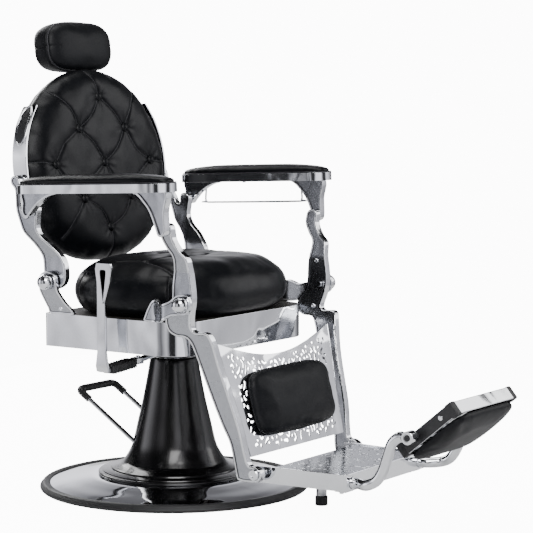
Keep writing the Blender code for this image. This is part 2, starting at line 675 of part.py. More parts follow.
def foot_outline(low_x, high_x, half_thickness):
    stops = [low_x, *[x for x in (-0.288, -0.190) if low_x < x < high_x], high_x]
    under = [(x, foot_level(x) - half_thickness) for x in stops]
    return under + [(x, foot_level(x) + half_thickness) for x in reversed(stops)]


def build_lever():
    near, far = LEVER_X - LEVER_THICKNESS / 2, LEVER_X + LEVER_THICKNESS / 2
    heights = [0.366, 0.485, 0.530, 0.560, 0.574]
    handle = [(far, z) for z in [0.335, *heights]] + [(near, z) for z in [*reversed(heights), 0.335]]
    foot = foot_outline(-0.299, -0.100, 0.0045)
    outline = [(near + 0.003, 0.3215), *foot, *handle]
    width = [(0.345, 0.0170), (0.366, 0.0125), (0.485, 0.0115), (0.530, 0.0190), (0.560, 0.0240), (0.574, 0.0200)]
    bm = extruded(outline, 1, -1, 1)
    for vert in bm.verts:
        half = between(vert.co.z, width) if vert.co.x < -0.2985 else 0.010
        shift = -0.007 if vert.co.z > 0.5 else 0.0
        vert.co.y = LEVER_AXIS[0] + shift + math.copysign(half, vert.co.y)
    add_piece("recline_lever", bm, "lever", "chrome")

    low, high = LEVER_AXIS[0] - 0.0165, LEVER_AXIS[0] + 0.0165
    sleeve = add_piece("lever_sleeve", extruded(foot_outline(-0.284, -0.195, 0.010), 1, low, high),
                       "lever", "rubber")
    inside = extruded(foot_outline(-0.296, -0.180, 0.0050), 1, LEVER_AXIS[0] - 0.0105, LEVER_AXIS[0] + 0.0105)
    combine(sleeve, inside, "DIFFERENCE")

    add_piece("lever_shaft", peg(0.007, (-0.100 + GAP, -0.050), LEVER_AXIS), "lever", "steel")
    y, z = LEVER_AXIS
    ear = [(y - 0.014, z), (y - 0.010, z - 0.011), (y, z - 0.015), (y + 0.010, z - 0.011), (y + 0.014, z),
           (y + 0.014, SUPPORT_TOP - SUPPORT_WALL - GAP), (y - 0.014, SUPPORT_TOP - SUPPORT_WALL - GAP)]
    ear = add_piece("lever_bracket", extruded(ear, 0, -0.082, -0.070), "seat", "black_steel")
    combine(ear, peg(0.007 + RUNNING_GAP, (-0.12, -0.03), LEVER_AXIS), "DIFFERENCE")


# Legrest -----------------------------------------------------------------------------------------


PANEL_LEAN = [(PANEL_BOTTOM[1], PANEL_BOTTOM[0]), (PANEL_TOP[1], PANEL_TOP[0])]  # height and depth


def build_legrest():
    scoop = [(PANEL_HALF_TOP * (1 - i / 4), PANEL_TOP[1] - PANEL_SCOOP * math.sin(math.pi * i / 8))
             for i in range(9)]
    low = PANEL_BOTTOM[1]
    outline = [(-PANEL_HALF_BOTTOM, low), (PANEL_HALF_BOTTOM, low), *scoop]
    half = PANEL_THICKNESS / 2
    panel = extruded(outline, 1, -half, half, 2, PANEL_LEAN)
    add_piece("legrest_panel", panel, "legrest", "chrome")

    lean = math.atan2(PANEL_TOP[0] - PANEL_BOTTOM[0], PANEL_TOP[1] - PANEL_BOTTOM[1])
    pad = pillow(superellipse(*CALF_HALF, 5.0), lambda level: CALF_THICKNESS * max(0.0, 0.35 + 0.65 * level),
                 32, 10, edge=0.35, crown=0.9)
    stood_up(pad)
    bmesh.ops.translate(pad, vec=(0, -half - GAP, 0), verts=pad.verts)
    bmesh.ops.rotate(pad, matrix=Matrix.Rotation(-lean, 3, "X"), verts=pad.verts)
    bmesh.ops.translate(pad, vec=(0, between(CALF_CENTRE_Z, PANEL_LEAN), CALF_CENTRE_Z), verts=pad.verts)
    add_piece("calf_pad", pad, "legrest", "leather")
    for name, side in SIDES.items():
        outside = LEG_BOLT_X + FRAME_THICKNESS / 2 + 0.002
        profile = [(0, 0), (0.0075, 0), (0.0075, outside - 0.178), (0.0125, outside - 0.178),
                   (0.0125, outside - 0.172), (0, outside - 0.172)]
        add_piece(f"leg_bolt_{name}", along_x(turned(profile, 16), (0.178, *LEG_BOLT)), "legrest", "chrome", side)


# Footrest ----------------------------------------------------------------------------------------


def plate_outline(inset, rear):
    """The footplate in plan, which widens a little towards the legs."""
    front = PLATE_FRONT + inset
    wide = PLATE_HALF_FRONT + PLATE_FLARE * (rear - PLATE_FRONT) - inset
    narrow = PLATE_HALF_FRONT + PLATE_FLARE * inset - inset
    return [(-wide, rear), (-narrow, front), (narrow, front), (wide, rear)]


def build_footrest():
    low, high = PLATE_Z
    rear = LEG_BOLT[0] + 0.014
    frame = add_piece("footplate_frame", extruded(plate_outline(0, rear), 2, low, high), "footrest", "chrome")
    hollow = extruded(plate_outline(PLATE_WALL, rear + 0.02), 2, low - 0.01, high + 0.01)
    combine(frame, hollow, "DIFFERENCE")
    combine(frame, peg(0.0085, (-0.25, 0.25), LEG_BOLT), "DIFFERENCE")
    for side in SIDES.values():
        hole = turned([(0, 0), (TUBE_RADIUS + 0.001, 0), (TUBE_RADIUS + 0.001, 0.04), (0, 0.04)], 16)
        bmesh.ops.rotate(hole, matrix=Matrix.Rotation(-math.pi / 2, 3, "X"), verts=hole.verts)
        bmesh.ops.translate(hole, vec=(TUBE_ROOT[0], PLATE_FRONT - 0.02, TUBE_ROOT[1]), verts=hole.verts)
        combine(frame, hole, "DIFFERENCE", side)
    tread = extruded(plate_outline(PLATE_WALL + GAP, -0.410), 2, high - 0.006, high - 0.003)
    add_piece("tread_plate", tread, "footrest", "chrome")

    post = [(0, POST_BOTTOM + 0.022 + GAP), (POST_RADIUS, POST_BOTTOM + 0.022 + GAP),
            (POST_RADIUS, high - 0.006 - GAP), (0, high - 0.006 - GAP)]
    place = (0, POST_Y, 0)
    post = turned(post, 20)
    bmesh.ops.translate(post, vec=place, verts=post.verts)
    add_piece("foot_post", post, "footrest", "chrome")
    foot = [(0, POST_BOTTOM), (POST_FOOT_RADIUS, POST_BOTTOM), (POST_FOOT_RADIUS, POST_BOTTOM + 0.022),
            (0, POST_BOTTOM + 0.022)]
    foot = turned(foot, 20)
    bmesh.ops.translate(foot, vec=place, verts=foot.verts)
    add_piece("foot_post_cap", foot, "footrest", "rubber")
    for name, side in SIDES.items():
        build_tube(name, side)


def build_tube(name, side):
    straight = [(side * TUBE_ROOT[0], y, TUBE_ROOT[1]) for y in (-0.575, -0.600, -0.625)]
    route = [(-0.6550, 0.103), (-0.6800, 0.115), (-0.6970, 0.139), (-0.7085, 0.171), (-0.7200, 0.202),
             (-0.7350, 0.217), (-0.7480, 0.221)]
    path = straight + [(side * TUBE_X, y, z) for y, z in route]
    add_rod(f"foot_tube_{name}", smooth_path(path, 2), TUBE_RADIUS, "footrest", "chrome")

    boss = [(0, 0), (0.0150, 0), (0.0150, 0.026), (0, 0.026)]
    boss = along_x(turned(boss, 20), (TUBE_X - 0.013, *PANEL_PIVOT))
    add_piece(f"tube_boss_{name}", boss, "footrest", "chrome", side)


def build_foot_panel():
    """The flip-over foot panel, modelled flat about its pivot and then tilted."""
    low_end, high_end = FOOT_PANEL_SPAN
    under, over = FOOT_PANEL_DEPTH
    half = FOOT_PANEL_HALF_WIDTH

    def tilted(bm):
        bmesh.ops.rotate(bm, matrix=Matrix.Rotation(-FOOT_PANEL_ANGLE, 3, "X"), verts=bm.verts)
        bmesh.ops.translate(bm, vec=(0, *PANEL_PIVOT), verts=bm.verts)
        return bm

    tray = tilted(block((-half, -high_end, under), (half, -low_end, over)))
    tray = add_piece("foot_panel_tray", tray, "foot_panel", "chrome")
    inside = block((-half + 0.004, -high_end + 0.004, under - 0.01), (half - 0.004, -low_end - 0.004, over - 0.004))
    combine(tray, tilted(inside), "DIFFERENCE")

    middle, half_length = -(low_end + high_end) / 2, (high_end - low_end) / 2
    pad = pillow(superellipse(half - 0.002, half_length - 0.002, 6.0),
                 lambda level: FOOT_PAD_THICKNESS * min(0.0, level * 0.75 - 0.25), 28, 10, edge=0.35, crown=0.9)
    bmesh.ops.translate(pad, vec=(0, middle, under - GAP), verts=pad.verts)
    add_piece("foot_panel_pad", tilted(pad), "foot_panel", "leather")
    for name, side in SIDES.items():
        stub = [(0, 0), (0.009, 0), (0.009, TUBE_X - 0.013 - half - 2 * GAP), (0, TUBE_X - 0.013 - half - 2 * GAP)]
        stub = along_x(turned(stub, 16), (half + GAP, *PANEL_PIVOT))
        add_piece(f"panel_hinge_{name}", stub, "foot_panel", "black_steel", side)


clear_scene()
PIVOTS = add_pivots()
build_base()
build_column()
build_pedal()
build_seat()
build_back()
build_lever()
build_legrest()
build_footrest()
build_foot_panel()
build_towel_bar()
for side_name, side_sign in SIDES.items():
    build_side(side_name, side_sign)
    build_arm(side_name, side_sign)
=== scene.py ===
"""Looks of a hydraulic barber chair: chrome castings, tufted black hide, gloss enamel and rubber.

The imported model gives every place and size. Each sub-assembly of the chair is a class whose fields are its own
sizes in metres. Front is -Y, the sitter's right is -X and +Z is up.
"""

import json
import logging
import math
import random
from dataclasses import dataclass, field
from enum import Enum
from typing import Callable, ClassVar, Sequence

import bmesh
import bpy
from mathutils import Matrix, Vector, noise
from mathutils.bvhtree import BVHTree


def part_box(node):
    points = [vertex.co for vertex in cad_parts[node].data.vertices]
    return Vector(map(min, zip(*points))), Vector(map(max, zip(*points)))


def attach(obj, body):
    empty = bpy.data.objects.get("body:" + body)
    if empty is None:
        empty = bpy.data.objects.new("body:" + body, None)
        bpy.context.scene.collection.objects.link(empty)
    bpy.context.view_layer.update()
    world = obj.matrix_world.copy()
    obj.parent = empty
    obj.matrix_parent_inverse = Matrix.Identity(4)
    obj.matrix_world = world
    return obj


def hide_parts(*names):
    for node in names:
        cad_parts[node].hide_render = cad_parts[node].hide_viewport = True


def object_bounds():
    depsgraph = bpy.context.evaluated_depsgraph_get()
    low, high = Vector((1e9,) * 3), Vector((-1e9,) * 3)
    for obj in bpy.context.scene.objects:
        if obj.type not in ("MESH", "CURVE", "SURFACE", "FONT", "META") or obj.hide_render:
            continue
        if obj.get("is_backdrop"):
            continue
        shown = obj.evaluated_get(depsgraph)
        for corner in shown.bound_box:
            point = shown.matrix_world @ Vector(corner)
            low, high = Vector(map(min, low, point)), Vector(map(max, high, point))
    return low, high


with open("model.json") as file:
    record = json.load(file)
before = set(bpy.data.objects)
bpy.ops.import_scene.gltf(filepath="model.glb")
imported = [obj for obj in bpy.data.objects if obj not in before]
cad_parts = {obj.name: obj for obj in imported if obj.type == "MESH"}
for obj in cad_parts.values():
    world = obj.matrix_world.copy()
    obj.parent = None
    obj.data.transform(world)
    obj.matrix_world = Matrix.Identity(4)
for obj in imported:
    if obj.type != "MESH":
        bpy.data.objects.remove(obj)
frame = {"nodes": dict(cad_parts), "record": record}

LOG = logging.getLogger("barber_chair")
SIDES = {"left": 1, "right": -1}
Point = tuple[float, float]
Mesh = bmesh.types.BMesh
Item = bpy.types.Object
Node = bpy.types.Node
Socket = bpy.types.NodeSocket
Material = bpy.types.Material


# Node sheets and shared surface effects -----------------------------------------------------------


class NodeSheet:
    """A node tree that is being filled in from left to right."""

    def __init__(self, tree: bpy.types.NodeTree) -> None:
        """Args:
            tree: the tree of a material, a world or a node group.
        """
        self.tree = tree
        self.column = 0

    def add(self, kind: str, **sockets: object) -> Node:
        """Adds a node and sets its sockets.

        Args:
            kind: the node's type name.
            sockets: a value or another node's output for each input, with underscores for the spaces in
                its name.

        Returns:
            The new node.
        """
        node = self.tree.nodes.new(kind)
        node.location = (self.column * 200, 0)
        self.column += 1
        for name, value in sockets.items():
            target = node.inputs[name.replace("_", " ")]
            if isinstance(value, Socket):
                self.wire(value, target)
            else:
                target.default_value = value
        return node

    def wire(self, source: Socket, target: Socket) -> None:
        """Joins an output to an input."""
        self.tree.links.new(source, target)

    def mix(self, factor: Socket, low: Sequence[float],
            high: Sequence[float]) -> Socket:
        """Blends two colours by a mask.

        Args:
            factor: the mask's output.
            low: colour where the mask is 0.
            high: colour where the mask is 1.

        Returns:
            The colour output.
        """
        node = self.add("ShaderNodeMix")
        node.data_type = "RGBA"
        self.wire(factor, node.inputs[0])
        node.inputs[6].default_value = (*low, 1.0)
        node.inputs[7].default_value = (*high, 1.0)
        return node.outputs[2]

    def spread(self, value: Socket, low: float, high: float) -> Socket:
        """Stretches a 0 to 1 value over a range.

        Args:
            value: the output to stretch.
            low: result for 0.
            high: result for 1.

        Returns:
            The stretched output.
        """
        node = self.add("ShaderNodeMapRange", Value=value, To_Min=low, To_Max=high)
        return node.outputs["Result"]

    def bump(self, height: Socket, strength: float, distance: float) -> Socket:
        """Turns a height into a normal.

        Args:
            height: the height output, 0 to 1.
            strength: how much of the relief shows.
            distance: depth of the relief in metres.

        Returns:
            The normal output.
        """
        node = self.add("ShaderNodeBump", Height=height, Strength=strength, Distance=distance)
        return node.outputs["Normal"]

    def effect(self, group: bpy.types.NodeTree, scale: float, place: Socket) -> Node:
        """Places a shared effect.

        Args:
            group: the effect's node group.
            scale: its scale on this material.
            place: the coordinates that it follows.

        Returns:
            The group's node.
        """
        node = self.add("ShaderNodeGroup")
        node.node_tree = group
        node.inputs["Scale"].default_value = scale
        self.wire(place, node.inputs["Vector"])
        return node


class SurfaceEffects:
    """The node groups that several finishes share."""

    def __init__(self) -> None:
        """Builds each group once."""
        self.handling = self._handling_marks()
        self.grain = self._fine_grain()
        self.pebble = self._hide_pebble()

    @staticmethod
    def _group(name: str, inputs: Sequence[str],
               outputs: Sequence[str]) -> tuple[NodeSheet, Node, Node]:
        """Starts a group.

        Args:
            name: the group's name.
            inputs: its number inputs, which stand after a Vector input.
            outputs: its number outputs.

        Returns:
            The group's sheet, its input node and its output node.
        """
        tree = bpy.data.node_groups.new(name, "ShaderNodeTree")
        tree.interface.new_socket("Vector", in_out="INPUT", socket_type="NodeSocketVector")
        for socket in inputs:
            tree.interface.new_socket(socket, in_out="INPUT", socket_type="NodeSocketFloat")
        for socket in outputs:
            tree.interface.new_socket(socket, in_out="OUTPUT", socket_type="NodeSocketFloat")
        sheet = NodeSheet(tree)
        return sheet, sheet.add("NodeGroupInput"), sheet.add("NodeGroupOutput")

    def _handling_marks(self) -> bpy.types.NodeTree:
        """Soft smears and finger marks: a large cloudy mask broken up by a finer one."""
        sheet, source, result = self._group("handling_marks", ["Scale"], ["Mask"])
        place, scale = source.outputs["Vector"], source.outputs["Scale"]
        cloud = sheet.add("ShaderNodeTexNoise", Vector=place, Scale=scale, Detail=3.0, Roughness=0.55, Distortion=0.6)
        fine = sheet.add("ShaderNodeTexNoise", Vector=place, Scale=160.0, Detail=5.0, Roughness=0.7)
        joined = sheet.add("ShaderNodeMath")
        joined.operation = "MULTIPLY"
        sheet.wire(cloud.outputs["Fac"], joined.inputs[0])
        sheet.wire(fine.outputs["Fac"], joined.inputs[1])
        clear = sheet.add("ShaderNodeMapRange", From_Min=0.12, From_Max=0.42, Value=joined.outputs[0])
        sheet.wire(clear.outputs["Result"], result.inputs["Mask"])
        return sheet.tree

    def _fine_grain(self) -> bpy.types.NodeTree:
        """An even, fine roughness, as on cast metal, rubber and moulded plastic."""
        sheet, source, result = self._group("fine_grain", ["Scale"], ["Height"])
        place, scale = source.outputs["Vector"], source.outputs["Scale"]
        grain = sheet.add("ShaderNodeTexNoise", Vector=place, Scale=scale, Detail=6.0, Roughness=0.65)
        sheet.wire(grain.outputs["Fac"], result.inputs["Height"])
        return sheet.tree

    def _hide_pebble(self) -> bpy.types.NodeTree:
        """Pebbled hide: rounded cells with fine creases between them."""
        sheet, source, result = self._group("hide_pebble", ["Scale"], ["Height", "Mask"])
        place, scale = source.outputs["Vector"], source.outputs["Scale"]
        cells = sheet.add("ShaderNodeTexVoronoi", Vector=place, Scale=scale)
        cloud = sheet.add("ShaderNodeTexNoise", Vector=place, Scale=22.0, Detail=4.0, Roughness=0.6)
        height = sheet.add("ShaderNodeMath")
        height.operation = "MULTIPLY_ADD"
        sheet.wire(cells.outputs["Distance"], height.inputs[0])
        height.inputs[1].default_value = -0.9
        sheet.wire(cloud.outputs["Fac"], height.inputs[2])
        sheet.wire(height.outputs[0], result.inputs["Height"])
        sheet.wire(cloud.outputs["Fac"], result.inputs["Mask"])
        return sheet.tree


# Finishes -----------------------------------------------------------------------------------------


class Surface(Enum):
    """The chair's finishes."""

    CHROME = "mirror_chrome"
    BASE_CHROME = "base_chrome"
    CASTING = "cast_chrome"
    RECESS = "satin_recess"
    # Near-black metal for the slopes beside the castings' rims and for the lever's groove: painted shade in these
    # recesses.
    RECESS_SHADE = "painted_recess_shade"
    HIDE = "black_hide"
    MATT_HIDE = "matt_black_hide"
    # Matt near black: real seams, welts and stitches, and also the rods laid in the pleats as painted shade.
    THREAD_AND_PLEAT_SHADE = "black_thread_and_pleat_shade"
    ENAMEL = "black_enamel"
    SHELL = "moulded_shell"
    RUBBER = "black_rubber"
    # Real satin black paint on the painted parts; on the foot panel tray's ends it is painted shade.
    PAINT_AND_SIDE_SHADE = "satin_black_paint_and_side_shade"
    STEEL = "machined_steel"
    PLY = "stained_ply"
    TREAD = "embossed_tread"
    FLOOR = "studio_floor"


@dataclass(frozen=True)
class Metal:
    """A plated, cast or machined metal with handling marks and a fine grain.

    Args:
        clean: colour of the clean metal.
        marked: colour under a smear.
        roughness: lowest and highest roughness.
        grain: scale of the fine grain.
        depth: depth of the grain in metres.
        marks: scale of the smears.
        metallic: metallic value.
        ripple: scale of the slow ripples left by polishing.
        swell: height of those ripples in metres.
    """

    clean: tuple[float, float, float]
    marked: tuple[float, float, float]
    roughness: tuple[float, float]
    grain: float = 900.0
    depth: float = 0.00002
    marks: float = 7.0
    metallic: float = 1.0
    ripple: float = 9.0
    swell: float = 0.005

    def build(self, name: str, effects: SurfaceEffects) -> Material:
        """Makes the material.

        Args:
            name: its name.
            effects: the shared node groups.

        Returns:
            The material.
        """
        material, sheet, shader, place = new_material(name)
        marks = sheet.effect(effects.handling, self.marks, place)
        grain = sheet.effect(effects.grain, self.grain, place)
        sheet.wire(sheet.mix(marks.outputs["Mask"], self.clean, self.marked), shader.inputs["Base Color"])
        sheet.wire(sheet.spread(marks.outputs["Mask"], *self.roughness), shader.inputs["Roughness"])
        ripple = sheet.add("ShaderNodeTexNoise", Vector=place, Scale=self.ripple, Detail=1.0, Roughness=0.4,
                           Distortion=0.4)
        wavy = sheet.add("ShaderNodeBump", Strength=1.0, Distance=self.swell, Height=ripple.outputs["Fac"])
        fine = sheet.add("ShaderNodeBump", Strength=0.5, Distance=self.depth, Height=grain.outputs["Height"],
                         Normal=wavy.outputs["Normal"])
        sheet.wire(fine.outputs["Normal"], shader.inputs["Normal"])
        shader.inputs["Metallic"].default_value = self.metallic
        return material


@dataclass(frozen=True)
class Hide:
    """Upholstery hide: pebbled, with lighter crowns and a soft gloss that varies.

    Args:
        deep: colour in the creases.
        crown: colour where the hide is stretched.
        roughness: lowest and highest roughness.
        pebble: scale of the pebble cells.
        depth: depth of the pebble in metres.
        sheen: sheen weight.
    """

    deep: tuple[float, float, float]
    crown: tuple[float, float, float]
    roughness: tuple[float, float]
    pebble: float = 520.0
    depth: float = 0.00022
    sheen: float = 0.01

    def build(self, name: str, effects: SurfaceEffects) -> Material:
        """Makes the material.

        Args:
            name: its name.
            effects: the shared node groups.

        Returns:
            The material.
        """
        material, sheet, shader, place = new_material(name)
        pebble = sheet.effect(effects.pebble, self.pebble, place)
        sheet.wire(sheet.mix(pebble.outputs["Mask"], self.deep, self.crown), shader.inputs["Base Color"])
        sheet.wire(sheet.spread(pebble.outputs["Mask"], *self.roughness), shader.inputs["Roughness"])
        sheet.wire(sheet.bump(pebble.outputs["Height"], 0.35, self.depth), shader.inputs["Normal"])
        shader.inputs["Specular IOR Level"].default_value = 0.18
        shader.inputs["Sheen Weight"].default_value = self.sheen
        shader.inputs["Sheen Roughness"].default_value = 0.4
        return material


@dataclass(frozen=True)
class Coated:
    """Enamel, moulded plastic, paint or rubber: a dark body with a grain and, for enamel, a clear coat.

    Args:
        body: colour of the material.
        worn: colour where it is rubbed or dusty.
        roughness: lowest and highest roughness.
        grain: scale of the grain.
        depth: depth of the grain in metres.
        coat: weight of the clear coat.
    """

    body: tuple[float, float, float]
    worn: tuple[float, float, float]
    roughness: tuple[float, float]
    grain: float = 700.0
    depth: float = 0.0001
    coat: float = 0.0

    def build(self, name: str, effects: SurfaceEffects) -> Material:
        """Makes the material.

        Args:
            name: its name.
            effects: the shared node groups.

        Returns:
            The material.
        """
        material, sheet, shader, place = new_material(name)
        marks = sheet.effect(effects.handling, 9.0, place)
        grain = sheet.effect(effects.grain, self.grain, place)
        sheet.wire(sheet.mix(marks.outputs["Mask"], self.body, self.worn), shader.inputs["Base Color"])
        sheet.wire(sheet.spread(marks.outputs["Mask"], *self.roughness), shader.inputs["Roughness"])
        sheet.wire(sheet.bump(grain.outputs["Height"], 0.4, self.depth), shader.inputs["Normal"])
        shader.inputs["Coat Weight"].default_value = self.coat
        shader.inputs["Coat Roughness"].default_value = 0.08
        return material


@dataclass(frozen=True)
class Embossed:
    """Chrome sheet pressed all over with a random hammered relief, with near-black painted shade in its hollows.

    Args:
        high: colour of the raised parts.
        low: colour of the hollows, near black: painted shade.
        cells: scale of the relief.
        depth: depth of the relief in metres.
    """

    high: tuple[float, float, float]
    low: tuple[float, float, float]
    cells: float = 66.0
    depth: float = 0.0080

    def build(self, name: str, effects: SurfaceEffects) -> Material:
        """Makes the material.

        Args:
            name: its name.
            effects: the shared node groups.

        Returns:
            The material.
        """
        material, sheet, shader, place = new_material(name)
        warp = sheet.add("ShaderNodeTexNoise", Scale=46.0, Detail=2.0, Vector=place)
        bent = sheet.add("ShaderNodeVectorMath")
        bent.operation = "MULTIPLY_ADD"
        sheet.wire(warp.outputs["Color"], bent.inputs[0])
        bent.inputs[1].default_value = (0.03, 0.03, 0.0)
        sheet.wire(place, bent.inputs[2])
        cells = sheet.add("ShaderNodeTexVoronoi", Scale=self.cells, Randomness=1.0)
        cells.distance = "MANHATTAN"
        sheet.wire(bent.outputs[0], cells.inputs["Vector"])
        step = sheet.add("ShaderNodeMapRange", From_Min=0.30, From_Max=0.55, Value=cells.outputs["Distance"])
        grain = sheet.effect(effects.grain, 300.0, place)
        # Colour runs from the chrome of the raised parts to near-black painted shade in the hollows.
        sheet.wire(sheet.mix(step.outputs["Result"], self.high, self.low), shader.inputs["Base Color"])
        sheet.wire(sheet.spread(grain.outputs["Height"], 0.10, 0.26), shader.inputs["Roughness"])
        sheet.wire(sheet.bump(step.outputs["Result"], 1.0, self.depth), shader.inputs["Normal"])
        shader.inputs["Metallic"].default_value = 1.0
        return material


@dataclass(frozen=True)
class Ply:
    """Plywood edge and face: thin pale and dark layers with a streaky grain.

    Args:
        pale: colour of a pale layer.
        dark: colour of a dark layer.
    """

    pale: tuple[float, float, float]
    dark: tuple[float, float, float]

    def build(self, name: str, effects: SurfaceEffects) -> Material:
        """Makes the material.

        Args:
            name: its name.
            effects: the shared node groups.

        Returns:
            The material.
        """
        material, sheet, shader, place = new_material(name)
        layers = sheet.add("ShaderNodeTexWave", Scale=110.0, Distortion=1.5, Detail=2.0)
        layers.bands_direction = "Z"
        sheet.wire(place, layers.inputs["Vector"])
        grain = sheet.effect(effects.grain, 180.0, place)
        sheet.wire(sheet.mix(layers.outputs["Fac"], self.pale, self.dark), shader.inputs["Base Color"])
        sheet.wire(sheet.spread(grain.outputs["Height"], 0.55, 0.8), shader.inputs["Roughness"])
        sheet.wire(sheet.bump(grain.outputs["Height"], 0.4, 0.0003), shader.inputs["Normal"])
        return material


Finish = Metal | Hide | Coated | Embossed | Ply
RECIPES: dict[Surface, Finish] = {
    Surface.CHROME: Metal((0.86, 0.87, 0.89), (0.78, 0.79, 0.82), (0.035, 0.10)),
    Surface.BASE_CHROME: Metal((0.80, 0.81, 0.84), (0.74, 0.75, 0.78), (0.02, 0.06), marks=4.0, swell=0.0010),
    Surface.CASTING: Metal((0.82, 0.83, 0.85), (0.72, 0.73, 0.76), (0.07, 0.15), 420.0, 0.00004,
                           ripple=14.0, swell=0.0030),
    Surface.RECESS: Metal((0.46, 0.47, 0.50), (0.36, 0.37, 0.40), (0.20, 0.34), 620.0, 0.00008,
                          ripple=14.0, swell=0.0040),
    # Painted shade: near-black metal on the recess slopes of the castings and in the lever's groove.
    Surface.RECESS_SHADE: Metal((0.05, 0.05, 0.055), (0.03, 0.03, 0.035), (0.25, 0.4), 500.0, 0.0001, metallic=0.4),
    Surface.HIDE: Hide((0.0016, 0.0018, 0.0026), (0.0036, 0.0040, 0.0056), (0.30, 0.42)),
    Surface.MATT_HIDE: Hide((0.0022, 0.0025, 0.0034), (0.0048, 0.0053, 0.0070), (0.40, 0.52)),
    Surface.THREAD_AND_PLEAT_SHADE: Coated((0.010, 0.010, 0.013), (0.020, 0.020, 0.025), (0.5, 0.7), 2200.0, 0.0002),
    Surface.ENAMEL: Coated((0.0015, 0.0015, 0.0018), (0.0030, 0.0030, 0.0036), (0.20, 0.27), 60.0, 0.00003,
                            coat=0.25),
    Surface.SHELL: Coated((0.006, 0.006, 0.007), (0.010, 0.010, 0.012), (0.26, 0.38), 480.0, 0.0002),
    Surface.RUBBER: Coated((0.010, 0.010, 0.011), (0.020, 0.020, 0.021), (0.45, 0.62), 800.0, 0.0002),
    # Real satin black paint, also used as painted shade on the ends of the chrome foot panel tray.
    Surface.PAINT_AND_SIDE_SHADE: Coated((0.010, 0.010, 0.011), (0.022, 0.022, 0.024), (0.3, 0.45)),
    Surface.STEEL: Metal((0.55, 0.55, 0.57), (0.42, 0.42, 0.44), (0.22, 0.36), 1400.0, 0.00008),
    Surface.PLY: Ply((0.030, 0.024, 0.018), (0.012, 0.009, 0.007)),
    # Second colour: near-black painted shade in the tread's hollows.
    Surface.TREAD: Embossed((0.88, 0.90, 0.93), (0.05, 0.06, 0.09)),
    Surface.FLOOR: Coated((0.86, 0.86, 0.86), (0.84, 0.84, 0.845), (0.55, 0.7), 60.0, 0.0001),
}


def new_material(name: str) -> tuple[Material, NodeSheet, Node, Socket]:
    """Starts a material.

    Args:
        name: its name.

    Returns:
        The material, its node sheet, its shader and its Object coordinates.
    """
    material = bpy.data.materials.new(name)
    material.use_nodes = True
    sheet = NodeSheet(material.node_tree)
    shader = material.node_tree.nodes["Principled BSDF"]
    place = sheet.add("ShaderNodeTexCoord").outputs["Object"]
    return material, sheet, shader, place


class PaintShop:
    """Hands out each finish, building it the first time it is asked for."""

    def __init__(self) -> None:
        """Builds the shared effects."""
        self.effects = SurfaceEffects()
        self.made: dict[Surface, Material] = {}

    def get(self, surface: Surface) -> Material:
        """Args:
            surface: the finish wanted.

        Returns:
            Its material.
        """
        if surface not in self.made:
            self.made[surface] = RECIPES[surface].build(surface.value, self.effects)
        return self.made[surface]


# Shaping tools ------------------------------------------------------------------------------------


def along_span(a: Vector, b: Vector, c: Vector, d: Vector, t: float) -> Vector:
    """The place between b and c on the smooth curve through four points, at a part t of the way."""
    return 0.5 * (2 * b + (c - a) * t + (2 * a - 5 * b + 4 * c - d) * t**2 + (3 * b - a - 3 * c + d) * t**3)


def smooth_path(points: Sequence[Sequence[float]], per_span: int = 6) -> list[Vector]:
    """Points on a Catmull-Rom curve.

    Args:
        points: the points that the curve passes through.
        per_span: steps between two of them.

    Returns:
        The curve's points.
    """
    knots = [Vector(p) for p in points]
    knots = [2 * knots[0] - knots[1], *knots, 2 * knots[-1] - knots[-2]]
    path = []
    for a, b, c, d in zip(knots, knots[1:], knots[2:], knots[3:]):
        for i in range(per_span):
            path.append(along_span(a, b, c, d, i / per_span))
    return [*path, knots[-2]]


def spun(profile: Sequence[Sequence[float]], steps: int = 96, ring: bool = False) -> Mesh:
    """Turns a (radius, height) profile about Z.

    Args:
        profile: the profile's points.
        steps: facets round the axis.
        ring: whether the profile closes on itself instead of on the axis.

    Returns:
        The closed shape.
    """
    bm = bmesh.new()
    verts = [bm.verts.new((max(p[0], 0.0), 0, p[1])) for p in profile]
    ends = verts + verts[:1] if ring else verts
    edges = [bm.edges.new(pair) for pair in zip(ends, ends[1:])]
    bmesh.ops.spin(bm, geom=verts + edges, axis=(0, 0, 1), angle=math.tau, steps=steps, use_merge=True)
    bmesh.ops.remove_doubles(bm, verts=bm.verts, dist=1e-6)
    bmesh.ops.recalc_face_normals(bm, faces=bm.faces)
    return bm


def moved(bm: Mesh, place: Sequence[float]) -> Mesh:
    """Shifts a shape and returns it."""
    bmesh.ops.translate(bm, vec=place, verts=bm.verts)
    return bm


def pointed(bm: Mesh, along: Sequence[float], place: Sequence[float]) -> Mesh:
    """Turns a shape made about +Z to another direction.

    Args:
        bm: the shape.
        along: direction that its +Z takes.
        place: where its foot goes.

    Returns:
        The same shape.
    """
    turn = Vector((0, 0, 1)).rotation_difference(Vector(along)).to_matrix()
    bmesh.ops.rotate(bm, matrix=turn, verts=bm.verts)
    return moved(bm, place)


def mirrored(bm: Mesh, side: int) -> Mesh:
    """Leaves a left-hand shape alone, or turns it into the right-hand one when side is -1."""
    if side < 0:
        bmesh.ops.scale(bm, vec=(-1, 1, 1), verts=bm.verts)
        bmesh.ops.reverse_faces(bm, faces=bm.faces)
    return bm


def joined(parts: Sequence[Mesh]) -> Mesh:
    """Puts several shapes in one.

    Args:
        parts: the shapes, which are used up.

    Returns:
        One shape that holds them all.
    """
    whole = bmesh.new()
    for part in parts:
        mesh = bpy.data.meshes.new("part")
        part.to_mesh(mesh)
        part.free()
        whole.from_mesh(mesh)
        bpy.data.meshes.remove(mesh)
    return whole


